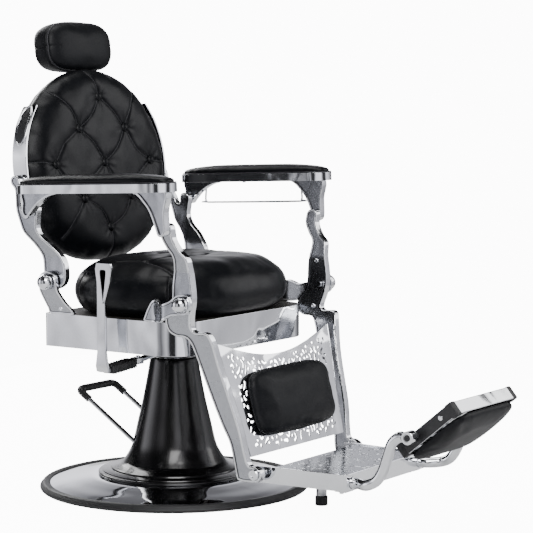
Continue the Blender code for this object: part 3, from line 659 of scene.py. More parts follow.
def drawn_out(bm: Mesh, step: Sequence[float]) -> Mesh:
    """Draws a flat face out to a closed solid.

    Args:
        bm: the shape that holds the face.
        step: how far and where to.

    Returns:
        The same shape.
    """
    drawn = bmesh.ops.extrude_face_region(bm, geom=bm.faces[:])
    lifted = [item for item in drawn["geom"] if isinstance(item, bmesh.types.BMVert)]
    bmesh.ops.translate(bm, vec=step, verts=lifted)
    bmesh.ops.recalc_face_normals(bm, faces=bm.faces)
    return bm


def plate(outline: Sequence[Point], holes: Sequence[Sequence[Point]], thickness: float) -> Mesh:
    """A flat plate with holes, standing on z = 0.

    Args:
        outline: its outer edge in plan.
        holes: the edges of its holes.
        thickness: its height.

    Returns:
        The closed plate.
    """
    bm = bmesh.new()
    for loop in (outline, *holes):
        verts = [bm.verts.new((x, y, 0)) for x, y in loop]
        for pair in zip(verts, verts[1:] + verts[:1]):
            bm.edges.new(pair)
    bmesh.ops.triangle_fill(bm, use_beauty=True, edges=bm.edges[:])
    return drawn_out(bm, (0, 0, thickness))


def copy_of(node: str) -> Mesh:
    """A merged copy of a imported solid, with its flat faces made whole.

    Args:
        node: the solid's name.

    Returns:
        The copy.
    """
    bm = bmesh.new()
    bm.from_mesh(frame["nodes"][node].data)
    bmesh.ops.remove_doubles(bm, verts=bm.verts, dist=1e-5)
    bmesh.ops.dissolve_limit(bm, angle_limit=math.radians(0.8), verts=bm.verts, edges=bm.edges)
    bmesh.ops.dissolve_degenerate(bm, dist=1e-5, edges=bm.edges)
    for face in bm.faces:
        face.material_index = 0
    return bm


def round_edges(bm: Mesh, width: float, segments: int = 2, angle: float = 40.0) -> Mesh:
    """Bevels the sharp edges of a shape.

    Args:
        bm: the shape.
        width: width of the bevel in metres.
        segments: facets across it.
        angle: smallest angle in degrees that counts as sharp.

    Returns:
        The same shape.
    """
    sharp = [e for e in bm.edges if e.is_manifold and e.calc_face_angle(0.0) > math.radians(angle)]
    bmesh.ops.bevel(bm, geom=sharp, offset=width, offset_type="OFFSET", segments=segments, profile=0.5,
                    affect="EDGES", clamp_overlap=True, material=-1)
    return bm


def socket_screw(radius: float, height: float) -> Mesh:
    """A round screw head with a sunk socket, made about +Z."""
    outline = ((0, 0.3), (0.42, 0.3), (0.46, 0.9), (0.58, 1), (0.84, 0.96), (1, 0.7), (1, 0), (0, 0))
    return spun([(radius * r, height * z) for r, z in outline], 24)


def block(size: Sequence[float], place: Sequence[float], width: float = 0.0, segments: int = 2) -> Mesh:
    """A box.

    Args:
        size: its three sides.
        place: its middle.
        width: rounding of its edges, or 0 for sharp ones.
        segments: facets across the rounding.

    Returns:
        The closed box.
    """
    bm = bmesh.new()
    bmesh.ops.create_cube(bm, size=1)
    bmesh.ops.scale(bm, vec=size, verts=bm.verts)
    if width:
        round_edges(bm, width, segments)
    return moved(bm, place)


def corners(node: str) -> tuple[Vector, Vector]:
    """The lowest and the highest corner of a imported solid."""
    low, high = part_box(node)
    return Vector(low), Vector(high)


def joint_place(name: str) -> Vector:
    """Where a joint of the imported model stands."""
    joints = {joint["name"]: joint for joint in frame["record"]["behaviour"]["joints"]}
    return Vector(joints[name]["pos_m"])


@dataclass
class SubAssembly:
    """What every sub-assembly shares: the paint shop and the way a finished piece is put on its body.

    Args:
        shop: where the finishes come from.
    """

    shop: PaintShop

    def put(self, obj: Item, body: str, surfaces: Sequence[Surface], stands_for: Sequence[str] = ()) -> Item:
        """Dresses an object and hands it to its body.

        Args:
            obj: the finished object.
            body: the body it moves with.
            surfaces: its finishes, in the order of its material slots.
            stands_for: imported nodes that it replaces.

        Returns:
            The same object.
        """
        for surface in surfaces:
            obj.data.materials.append(self.shop.get(surface))
        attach(obj, body)
        if stands_for:
            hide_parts(*stands_for)
        LOG.info("%s rides %s", obj.name, body)
        return obj

    def piece(self, bm: Mesh, name: str, body: str, *surfaces: Surface, stands_for: Sequence[str] = (),
              fill: float | None = None, crease: float = 35.0) -> Item:
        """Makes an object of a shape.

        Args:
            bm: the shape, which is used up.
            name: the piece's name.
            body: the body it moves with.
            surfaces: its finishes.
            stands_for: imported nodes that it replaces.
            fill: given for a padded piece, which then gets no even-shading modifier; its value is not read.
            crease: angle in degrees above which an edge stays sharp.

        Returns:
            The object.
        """
        mesh = bpy.data.meshes.new(name)
        bm.to_mesh(mesh)
        bm.free()
        mesh.shade_smooth()
        mesh.set_sharp_from_angle(angle=math.radians(crease))
        obj = bpy.data.objects.new(name, mesh)
        bpy.context.collection.objects.link(obj)
        if fill is None:
            weighted = obj.modifiers.new("even_shading", "WEIGHTED_NORMAL")
            weighted.keep_sharp = True
        return self.put(obj, body, surfaces, stands_for)

    def rod(self, path: Sequence[Sequence[float]], radius: float, name: str, body: str, surface: Surface,
            stands_for: Sequence[str] = ()) -> Item:
        """Makes a round bar.

        Args:
            path: the points along its middle.
            radius: its radius.
            name: the piece's name.
            body: the body it moves with.
            surface: its finish.
            stands_for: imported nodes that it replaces.

        Returns:
            The object.
        """
        curve = bpy.data.curves.new(name, "CURVE")
        curve.dimensions = "3D"
        curve.bevel_depth = radius
        curve.bevel_resolution = 6
        curve.use_fill_caps = True
        spline = curve.splines.new("POLY")
        spline.points.add(len(path) - 1)
        for point, place in zip(spline.points, path):
            point.co = (*place, 1)
        spline.use_smooth = True
        obj = bpy.data.objects.new(name, curve)
        bpy.context.collection.objects.link(obj)
        return self.put(obj, body, (surface,), stands_for)

    def eased(self, node: str, body: str, surface: Surface, width: float = 0.0010,
              segments: int = 2) -> Item:
        """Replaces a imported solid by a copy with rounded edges.

        Args:
            node: the solid.
            body: its body.
            surface: its finish.
            width: width of the rounding in metres.
            segments: facets across the rounding.

        Returns:
            The object.
        """
        shape = round_edges(copy_of(node), width, segments)
        return self.piece(shape, f"{node}_finished", body, surface, stands_for=(node,))

    def dress(self, node: str, surface: Surface) -> None:
        """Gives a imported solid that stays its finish."""
        mesh = frame["nodes"][node].data
        mesh.materials.clear()
        mesh.materials.append(self.shop.get(surface))


def between(value: float, stops: Sequence[Point]) -> float:
    """Straight-line reading in a list of (position, result) stops.

    Args:
        value: the position to read at.
        stops: the list, in rising order.

    Returns:
        The result there.
    """
    if value <= stops[0][0]:
        return stops[0][1]
    for (a, left), (b, right) in zip(stops, stops[1:]):
        if value <= b:
            return left + (right - left) * (value - a) / (b - a)
    return stops[-1][1]


def arc(centre: Point, radius: float, start: float, end: float, steps: int) -> list[Point]:
    """Points on a circle, from one angle to another in degrees."""
    angles = [math.radians(start + (end - start) * i / steps) for i in range(steps + 1)]
    return [(centre[0] + radius * math.cos(a), centre[1] + radius * math.sin(a)) for a in angles]


def closed_curve(points: Sequence[Point], per_span: int = 4) -> list[Point]:
    """A smooth closed outline.

    Args:
        points: the points that it passes through.
        per_span: steps between two of them.

    Returns:
        The outline's points.
    """
    knots = [Vector(p) for p in points]
    count = len(knots)
    path = []
    for i in range(count):
        a, b, c, d = (knots[(i + k) % count] for k in (-1, 0, 1, 2))
        for step in range(per_span):
            path.append(tuple(along_span(a, b, c, d, step / per_span)))
    return path


def superellipse(half_u: float, half_v: float, squareness: float, count: int) -> list[Point]:
    """A rounded rectangle that runs between an ellipse and a square.

    Args:
        half_u: half of its width.
        half_v: half of its height.
        squareness: 2 for an ellipse, more for squarer corners.
        count: how many points.

    Returns:
        Its points.
    """
    points = []
    for i in range(count):
        c, s = math.cos(math.tau * i / count), math.sin(math.tau * i / count)
        points.append((half_u * math.copysign(abs(c) ** (2 / squareness), c),
                       half_v * math.copysign(abs(s) ** (2 / squareness), s)))
    return points


def scratch_object(bm: Mesh, name: str) -> Item:
    """A working object that holds a shape, to be removed again.

    Args:
        bm: the shape, which is used up.
        name: the object's name.

    Returns:
        The object.
    """
    mesh = bpy.data.meshes.new(name)
    bm.to_mesh(mesh)
    bm.free()
    obj = bpy.data.objects.new(name, mesh)
    bpy.context.collection.objects.link(obj)
    return obj


def evaluated(obj: Item) -> Mesh:
    """The shape of an object with its modifiers applied.

    Args:
        obj: the object, which stays as it is.

    Returns:
        The shape.
    """
    bpy.context.view_layer.update()
    graph = bpy.context.evaluated_depsgraph_get()
    bm = bmesh.new()
    bm.from_mesh(obj.evaluated_get(graph).data)
    return bm


def smoothed(bm: Mesh) -> Mesh:
    """Draws every point half way to the middle of its neighbours, and returns the shape."""
    bmesh.ops.smooth_vert(bm, verts=bm.verts, factor=0.5, use_axis_x=True, use_axis_y=True, use_axis_z=True)
    return bm


def discard(obj: Item) -> None:
    """Removes a working object and its mesh."""
    mesh = obj.data
    bpy.data.objects.remove(obj)
    bpy.data.meshes.remove(mesh)


def cut(bm: Mesh, cutter: Mesh) -> Mesh:
    """Cuts one closed shape from another.

    Args:
        bm: the shape to cut, which is used up.
        cutter: what is taken away, which is used up.

    Returns:
        What is left.
    """
    body, tool = scratch_object(bm, "cut_body"), scratch_object(cutter, "cut_tool")
    modifier = body.modifiers.new("cut", "BOOLEAN")
    modifier.operation = "DIFFERENCE"
    modifier.solver = "EXACT"
    modifier.use_self = True
    modifier.object = tool
    result = evaluated(body)
    discard(body)
    discard(tool)
    return result


@dataclass(frozen=True)
class Casting:
    """A flat casting that stands along X: a smooth outline, a raised rim and a sunk satin panel.

    Args:
        outline: its (y, z) outline.
        lean: (height, x) stops that its middle follows.
        thickness: its thickness along X.
        rim: width of the raised rim, or 0 for a plain plate.
        recess: depth of the panel below the rim.
        lean_axis: axis that the lean is read along, 1 or 2.
        edge: rounding of its edges.
        per_span: smoothing steps between two outline points.
    """

    outline: Sequence[Point]
    lean: Sequence[Point]
    thickness: float
    rim: float = 0.0026
    recess: float = 0.0024
    lean_axis: int = 2
    edge: float = 0.0026
    per_span: int = 4

    def build(self) -> Mesh:
        """Returns:
            The casting, with the sunk panel in its second material and the line beside its rim in the third, which is
            near-black painted shade on the slope down to the panel.
        """
        bm = bmesh.new()
        bm.faces.new([bm.verts.new((-self.thickness / 2, y, z))
                      for y, z in closed_curve(self.outline, self.per_span)])
        drawn_out(bm, (self.thickness, 0, 0))
        flats = [f for f in bm.faces if len(f.verts) > 4]
        edges = list({e for f in flats for e in f.edges})
        bmesh.ops.bevel(bm, geom=edges, offset=self.edge, offset_type="OFFSET", segments=4, profile=0.5,
                        affect="EDGES", clamp_overlap=True, material=-1)
        flats = [f for f in bm.faces if len(f.verts) > 20]
        if self.rim:
            bmesh.ops.inset_individual(bm, faces=flats, thickness=self.rim, depth=0, use_even_offset=True)
            slope = bmesh.ops.inset_individual(bm, faces=flats, thickness=0.0014, depth=-self.recess,
                                               use_even_offset=True)
            # The slope down to the sunk panel takes the third material, near black: painted shade in the recess.
            for wall in slope["faces"]:
                wall.material_index = 2
            for flat in flats:
                flat.material_index = 1
        bmesh.ops.triangulate(bm, faces=bm.faces)
        low = min(v.co[self.lean_axis] for v in bm.verts)
        high = max(v.co[self.lean_axis] for v in bm.verts)
        steps = int((high - low) / 0.008)
        normal = Vector((0, 1, 0)) if self.lean_axis == 1 else Vector((0, 0, 1))
        for i in range(1, steps):
            everything = [*bm.verts, *bm.edges, *bm.faces]
            level = normal * (low + (high - low) * i / steps)
            bmesh.ops.bisect_plane(bm, geom=everything, dist=1e-6, plane_co=level, plane_no=normal)
        for vert in bm.verts:
            place = vert.co[self.lean_axis]
            vert.co.x += sum(between(place + step, self.lean) for step in (-0.006, -0.003, 0, 0.003, 0.006)) / 5
        return bm


@dataclass(frozen=True)
class Stuffing:
    """How a padded piece is swollen by a cloth simulation.

    Args:
        shrink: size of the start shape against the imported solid.
        voxel: spacing of the cloth's mesh in metres.
        pressure: gas pressure inside.
        limit: furthest that a point may move in metres.
        frames: frames of simulation.
        held: how firmly a point is held, 0 to 1.
        tightness: how often the swollen hide is relaxed.
    """

    shrink: float = 0.965
    voxel: float = 0.005
    pressure: float = 4.0
    limit: float = 0.012
    frames: int = 20
    held: Callable[[Vector], float] = field(default=lambda place: 0.0)
    tightness: int = 12

    def fill(self, bm: Mesh, centre: Vector) -> Mesh:
        """Swells a closed shape.

        Args:
            bm: the shape, which is used up.
            centre: the point that it first shrinks towards.

        Returns:
            The swollen shape, once subdivided.
        """
        bmesh.ops.scale(bm, vec=(self.shrink,) * 3, space=Matrix.Translation(-centre), verts=bm.verts)
        obj = scratch_object(bm, "stuffing")
        remesh = obj.modifiers.new("even_mesh", "REMESH")
        remesh.mode = "VOXEL"
        remesh.voxel_size = self.voxel
        cloth_start = scratch_object(evaluated(obj), "cloth")
        discard(obj)
        self._swell(cloth_start)
        self._relax(cloth_start.data)
        cloth_start.modifiers.new("fine", "SUBSURF").levels = 1
        result = evaluated(cloth_start)
        discard(cloth_start)
        return smoothed(result)

    def _relax(self, mesh: bpy.types.Mesh) -> None:
        """Draws the hide tight, so that only broad, soft wrinkles stay.

        Args:
            mesh: the swollen mesh, which is changed.
        """
        bm = bmesh.new()
        bm.from_mesh(mesh)
        for _ in range(self.tightness):
            smoothed(bm)
        bm.to_mesh(mesh)
        bm.free()

    def _swell(self, obj: Item) -> None:
        """Runs the simulation and keeps its capped result.

        Args:
            obj: the cloth, whose mesh is changed.
        """
        group = obj.vertex_groups.new(name="held")
        starts = [vert.co.copy() for vert in obj.data.vertices]
        for vert in obj.data.vertices:
            group.add([vert.index], min(max(self.held(vert.co), 0.0), 1.0), "REPLACE")
        cloth = obj.modifiers.new("cloth", "CLOTH")
        cloth.settings.use_pressure = True
        cloth.settings.uniform_pressure_force = self.pressure
        cloth.settings.effector_weights.gravity = 0
        cloth.settings.vertex_group_mass = "held"
        cloth.settings.quality = 4
        cloth.point_cache.frame_end = self.frames
        scene = bpy.context.scene
        for number in range(1, self.frames + 1):
            scene.frame_set(number)
        graph = bpy.context.evaluated_depsgraph_get()
        ends = [vert.co.copy() for vert in obj.evaluated_get(graph).data.vertices]
        obj.modifiers.remove(cloth)
        scene.frame_set(1)
        for vert, start, end in zip(obj.data.vertices, starts, ends):
            step = end - start
            if step.length > self.limit:
                step *= self.limit / step.length
            vert.co = start + step
        obj.data.update()


@dataclass(frozen=True)
class Tufting:
    """Buttons and pleats pressed into a padded face.

    Args:
        buttons: (across, along) places of the buttons.
        pleats: the (across, along) paths of the pleats.
        dimple: depth of a button's dimple and its radius.
        groove: depth of a pleat and its half width.
        wrinkle: height of the small wrinkles round a button, their distance from it and their spread.
        hollow: depth and width of the broad hollow beside a pleat, against the pleat's own.
    """

    buttons: Sequence[Point]
    pleats: Sequence[Sequence[Point]]
    dimple: tuple[float, float] = (0.0040, 0.012)
    groove: tuple[float, float] = (0.0032, 0.0030)
    wrinkle: tuple[float, float, float] = (0.0005, 0.022, 0.014)
    hollow: tuple[float, float] = (0.28, 4.2)

    def depth_at(self, across: float, along: float) -> float:
        """How far the face is pressed in.

        Args:
            across: place across the face.
            along: place up the face.

        Returns:
            The depth there in metres.
        """
        height, ring, spread = self.wrinkle
        depth_share, width_share = self.hollow
        depth = 0.0
        for u, v in self.buttons:
            away = math.hypot(across - u, along - v)
            if away < 4 * self.dimple[1]:
                depth += self.dimple[0] * math.exp(-(away / self.dimple[1]) ** 1.3)
                angle = math.atan2(along - v, across - u)
                wave = math.sin(9 * angle + 40 * u) * math.exp(-((away - ring) / spread) ** 2)
                depth += height * wave
        nearest = min(self._away(across, along, path) for path in self.pleats)
        depth += self.groove[0] * math.exp(-abs(nearest / self.groove[1]) ** 1.25)
        depth += self.groove[0] * depth_share * math.exp(-(nearest / (self.groove[1] * width_share)) ** 2)
        return depth

    @staticmethod
    def _away(across: float, along: float, path: Sequence[Point]) -> float:
        """Distance from a place to a pleat, with a quick way out when it is far off.

        Args:
            across: place across the face.
            along: place up the face.
            path: the pleat's points.

        Returns:
            The distance in metres, or 1 when it is far off.
        """
        (u0, v0), (u1, v1) = path[0], path[-1]
        span = math.hypot(u1 - u0, v1 - v0)
        if math.hypot(across - (u0 + u1) / 2, along - (v0 + v1) / 2) > span * 0.75 + 0.06:
            return 1.0
        best = 1.0
        for (a, b), (c, d) in zip(path, path[1:]):
            du, dv = c - a, d - b
            t = ((across - a) * du + (along - b) * dv) / max(du * du + dv * dv, 1e-12)
            t = min(max(t, 0.0), 1.0)
            best = min(best, math.hypot(across - a - t * du, along - b - t * dv))
        return best


class Skin:
    """The surface of a padded piece, for laying seams and buttons on."""

    def __init__(self, bm: Mesh) -> None:
        """Args:
            bm: the piece's shape.
        """
        self.tree = BVHTree.FromBMesh(bm)

    def nearest(self, place: Vector) -> tuple[Vector, Vector]:
        """The closest point of the surface and the direction out of it."""
        spot, normal, _, _ = self.tree.find_nearest(place)
        return spot, normal

    def hit(self, start: Vector, direction: Vector) -> tuple[Vector, Vector]:
        """Where a line meets the surface, and the direction out of it there."""
        spot, normal, _, _ = self.tree.ray_cast(start, direction)
        return (spot, normal) if spot is not None else self.nearest(start)


# The chair's sub-assemblies -----------------------------------------------------------------------


@dataclass
class BaseAndColumn(SubAssembly):
    """Round base, bell cover, pump and ram.

    Args:
        rim_width: width of the rubber bumper.
        gap: clearance between touching pieces.
        wall: wall of the cover.
        bell: (height, radius) stops of the cover.
        slot_half: half width of a pedal slot.
    """

    rim_width: float = 0.025
    gap: float = 0.0003
    wall: float = 0.005
    bell: tuple[Point, ...] = ((0.062, 0.128), (0.085, 0.113), (0.110, 0.102), (0.160, 0.0905), (0.213, 0.078),
                               (0.270, 0.067), (0.318, 0.0585))
    slot_half: float = 0.009

    def build(self) -> None:
        """Builds and dresses every piece."""
        low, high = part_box("base_rim")
        radius = (high[1] - low[1]) / 2
        inner = radius - self.rim_width
        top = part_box("base_plate")[1][2]
        dome = smooth_path([(inner - self.gap, 0.0150), (0.280, 0.0205), (0.250, 0.0258), (0.225, 0.0305),
                            (0.205, 0.0338), (0.188, top)], 6)
        plate_profile = [(0, 0), (0.06, 0), (0.07, 0.014), (0.265, 0.009), (0.275, 0), (inner - self.gap, 0),
                         (inner - self.gap, 0.014), *[(p[0], p[1]) for p in dome], (0, top)]
        self.piece(spun(plate_profile, 128), "base_disc", "base", Surface.BASE_CHROME,
                   stands_for=("base_plate",))
        bumper = [(inner + self.gap, 0), (radius - 0.004, 0), *arc((radius - 0.006, 0.006), 0.006, -60, 60, 6),
                  *arc((radius - 0.012, 0.010), 0.008, 45, 100, 4), (inner + 0.004, 0.0172),
                  (inner + self.gap, 0.0155)]
        self.piece(spun(bumper, 128, ring=True), "base_bumper", "base", Surface.RUBBER,
                   stands_for=("base_rim",))
        self._cover(top + self.gap)
        for node, surface in (("pump_cylinder", Surface.STEEL), ("cylinder_cap", Surface.PAINT_AND_SIDE_SHADE),
                              ("pedal_shaft", Surface.STEEL)):
            self.dress(node, surface)
        low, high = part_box("lift_ram")
        half = (high[0] - low[0]) / 2
        ram = [(0, low[2]), (half - 0.001, low[2]), (half, low[2] + 0.001), (half, high[2]), (0, high[2])]
        self.piece(spun(ram, 64), "ram_bar", "ram", Surface.CHROME, stands_for=("lift_ram",))

    def _cover(self, bottom: float) -> None:
        """Builds the bell cover with its two pedal slots.

        Args:
            bottom: height of the cover's foot.
        """
        low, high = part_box("column_cover")
        flange, top = (high[0] - low[0]) / 2, high[2]
        bell = smooth_path([(r, z) for z, r in self.bell], 5)
        outer = [(flange - 0.002, bottom), *arc((flange - 0.004, bottom + 0.004), 0.004, -60, 80, 7),
                 (flange - 0.010, bottom + 0.0085), (flange - 0.011, bottom + 0.0105), (0.166, bottom + 0.0125),
                 (0.156, bottom + 0.0135), (0.1545, bottom + 0.0165), (0.148, bottom + 0.0190),
                 (0.136, bottom + 0.0230), *[(p[0], p[1]) for p in bell],
                 (self.bell[-1][1] - 0.0015, top - 0.0008), (self.bell[-1][1] - 0.004, top)]
        inner = [(0.044, top), (0.044, top - 0.006)]
        inner += [(r - self.wall, z - 0.002) for z, r in reversed(self.bell)] + [(0.140, bottom)]
        shape = spun(outer + inner, 96, ring=True)
        for node in ("pedal_rod_left", "pedal_rod_right"):
            low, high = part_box(node)
            x = (low[0] + high[0]) / 2
            shape = cut(shape, block((self.slot_half * 2, 0.11, 0.035), (x, 0.085, 0.1125)))
        self.piece(shape, "bell_cover", "base", Surface.ENAMEL, stands_for=("column_cover",))


@dataclass
class PumpPedal(SubAssembly):
    """Two rods and the rubber-covered foot loop.

    Args:
        end: (y, z) of the foot bar.
        half_width: half of the distance between the rods.
        rod_radius: radius of a rod.
        grip_radius: radius of the rubber.
        grip_length: length of the rubber along each rod.
        corner: bend radius of the loop.
    """

    end: Point = (0.245, 0.227)
    half_width: float = 0.070
    rod_radius: float = 0.0055
    grip_radius: float = 0.0088
    grip_length: float = 0.040
    corner: float = 0.014

    def build(self) -> None:
        """Builds the rods and the ribbed loop."""
        pivot = joint_place("pump_pedal")
        end = Vector((0, *self.end))
        out = (end - Vector((0, pivot.y, pivot.z))).normalized()
        start = Vector((0, pivot.y, pivot.z)) + out * 0.011
        for name, side in SIDES.items():
            across = Vector((side * self.half_width, 0, 0))
            self.rod([start + across, end - out * (self.grip_length + 0.0003) + across], self.rod_radius,
                     f"pedal_bar_{name}", "pedal", Surface.CHROME, (f"pedal_rod_{name}",))
        half = [end - out * self.grip_length + Vector((self.half_width, 0, 0))]
        for i in range(9):
            angle = math.pi / 2 * i / 8
            half.append(end - out * self.corner * (1 - math.sin(angle))
                        + Vector((self.half_width - self.corner * (1 - math.cos(angle)), 0, 0)))
        path = half + [Vector((-p.x, p.y, p.z)) for p in reversed(half)]
        self.rod(path, self.grip_radius, "pedal_rubber", "pedal", Surface.RUBBER, ("pedal_grip",))
        ribs = []
        for i in range(19):
            x = self.half_width * (-0.72 + 1.44 * i / 18)
            rib = spun([(self.grip_radius - 0.002, 0), (self.grip_radius + 0.0006, 0.0006),
                        (self.grip_radius + 0.0006, 0.0018), (self.grip_radius - 0.002, 0.0024)], 24, ring=True)
            ribs.append(pointed(rib, (1, 0, 0), (x, end.y, end.z)))
        self.piece(joined(ribs), "pedal_ribs", "pedal", Surface.RUBBER)


@dataclass
class SeatBase(SubAssembly):
    """Chrome band, board, support channel and the tufted seat cushion.

    Args:
        wall: wall of the band.
        front_corner: radius of the band's front corners.
        rear_corner: radius of its rear corners.
        seams: angles of the cushion's side seams.
        tufting: creases of the cushion's top.
    """

    wall: float = 0.0035
    front_corner: float = 0.075
    rear_corner: float = 0.012
    seams: tuple[float, ...] = (-2.62, -0.52, 0.52, 2.62)
    tufting: Tufting = Tufting(
        buttons=(),
        pleats=(tuple((x, -0.005 + 0.020 * math.sin(9 * x)) for x in (-0.17, -0.14, -0.11, -0.08, -0.05)),
                tuple((x, 0.010 - 0.018 * math.sin(11 * x)) for x in (0.05, 0.08, 0.11, 0.14, 0.17)),
                ((-0.165, -0.015), (-0.185, -0.070), (-0.200, -0.130)),
                ((0.165, -0.010), (0.188, -0.070), (0.200, -0.125)),
                ((-0.05, -0.03), (0.0, -0.055), (0.055, -0.035)),
                ((-0.165, 0.0), (-0.185, 0.06), (-0.190, 0.13)),
                ((0.165, 0.0), (0.185, 0.06), (0.190, 0.13)), ((-0.03, 0.05), (0.0, 0.062), (0.04, 0.05))),
        groove=(0.0060, 0.0050))

    def _outline(self, inset: float) -> list[Point]:
        """The band in plan, moved inwards by an inset."""
        low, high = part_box("seat_band")
        half, front, rear = high[0] - inset, low[1] + inset, high[1] - inset
        broad, tight = self.front_corner - inset, self.rear_corner - min(inset, 0.008)
        points = arc((half - broad, front + broad), broad, -90, 0, 24)
        points += arc((half - tight, rear - tight), tight, 0, 90, 8)
        return points + [(-x, y) for x, y in reversed(points)]

    def build(self) -> None:
        """Builds and dresses every piece."""
        low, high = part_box("seat_band")
        band = round_edges(plate(self._outline(0), [self._outline(self.wall)], high[2] - low[2]), 0.0009, 2, 60)
        self.piece(moved(band, (0, 0, low[2])), "seat_surround", "seat", Surface.CHROME,
                   stands_for=("seat_band",))
        self.dress("seat_board", Surface.PLY)
        self.eased("seat_support", "seat", Surface.PAINT_AND_SIDE_SHADE, 0.0008)
        self.eased("lever_bracket", "seat", Surface.PAINT_AND_SIDE_SHADE, 0.0006)
        self._cushion()

    def _cushion(self) -> None:
        """The seat pad: swollen, creased on top and seamed down its sides."""
        low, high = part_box("seat_cushion")
        floor, top = low[2], high[2]

        def held(place: Vector) -> float:
            """How firmly the hide is held at a place, 0 to 1."""
            return 1.0 if place.z < floor + 0.012 else 0.0

        centre = Vector((0, (low[1] + high[1]) / 2, floor))
        stuffing = Stuffing(1.022, 0.0055, 2.5, 0.005, held=held, tightness=12)
        shape = stuffing.fill(copy_of("seat_cushion"), centre)
        for vert in shape.verts:
            rise = (vert.co.z - floor) / (top - floor)
            if rise > 0.55:
                face = min((rise - 0.55) / 0.25, 1.0)
                vert.co.z -= face * self.tufting.depth_at(vert.co.x, vert.co.y - centre.y)
                vert.co.z += face * 0.0022 * noise.noise(vert.co * 18)
            vert.co.z = max(vert.co.z, floor)
            if 0.04 < rise < 0.8:
                angle = math.atan2(vert.co.y - centre.y, vert.co.x)
                turn = min(abs(math.remainder(angle - seam, math.tau)) for seam in self.seams)
                pull = 0.0028 * math.exp(-(turn * 0.25 / 0.0035) ** 2) + 0.0012 * math.exp(-(turn / 0.10) ** 2)
                out = Vector((vert.co.x, vert.co.y - centre.y, 0)).normalized()
                vert.co -= out * pull
        skin = Skin(shape)
        for number, angle in enumerate(self.seams):
            out = Vector((math.cos(angle), math.sin(angle), 0))
            path = []
            for i in range(15):
                level = floor + (top - floor) * (0.12 + 0.66 * i / 14)
                spot, normal = skin.hit(Vector((0, centre.y, level)) + out * 0.5, -out)
                path.append(spot + normal * 0.0001)
            self.rod(path, 0.0011, f"seat_side_seam_{number}", "seat", Surface.THREAD_AND_PLEAT_SHADE)
        # A matt dark rod along each pleat stands in for the shade in its crease: painted shade.
        for number, pleat in enumerate(self.tufting.pleats):
            knots = smooth_path([(u, v, 0) for u, v in pleat], 6)
            path = [skin.hit(Vector((p.x, centre.y + p.y, top + 0.1)), Vector((0, 0, -1)))[0] for p in knots]
            self.rod(path, 0.0009, f"seat_pleat_shade_{number}", "seat", Surface.THREAD_AND_PLEAT_SHADE)
        self.piece(shape, "seat_pad", "seat", Surface.HIDE, stands_for=("seat_cushion",),
                   fill=0.9, crease=80)


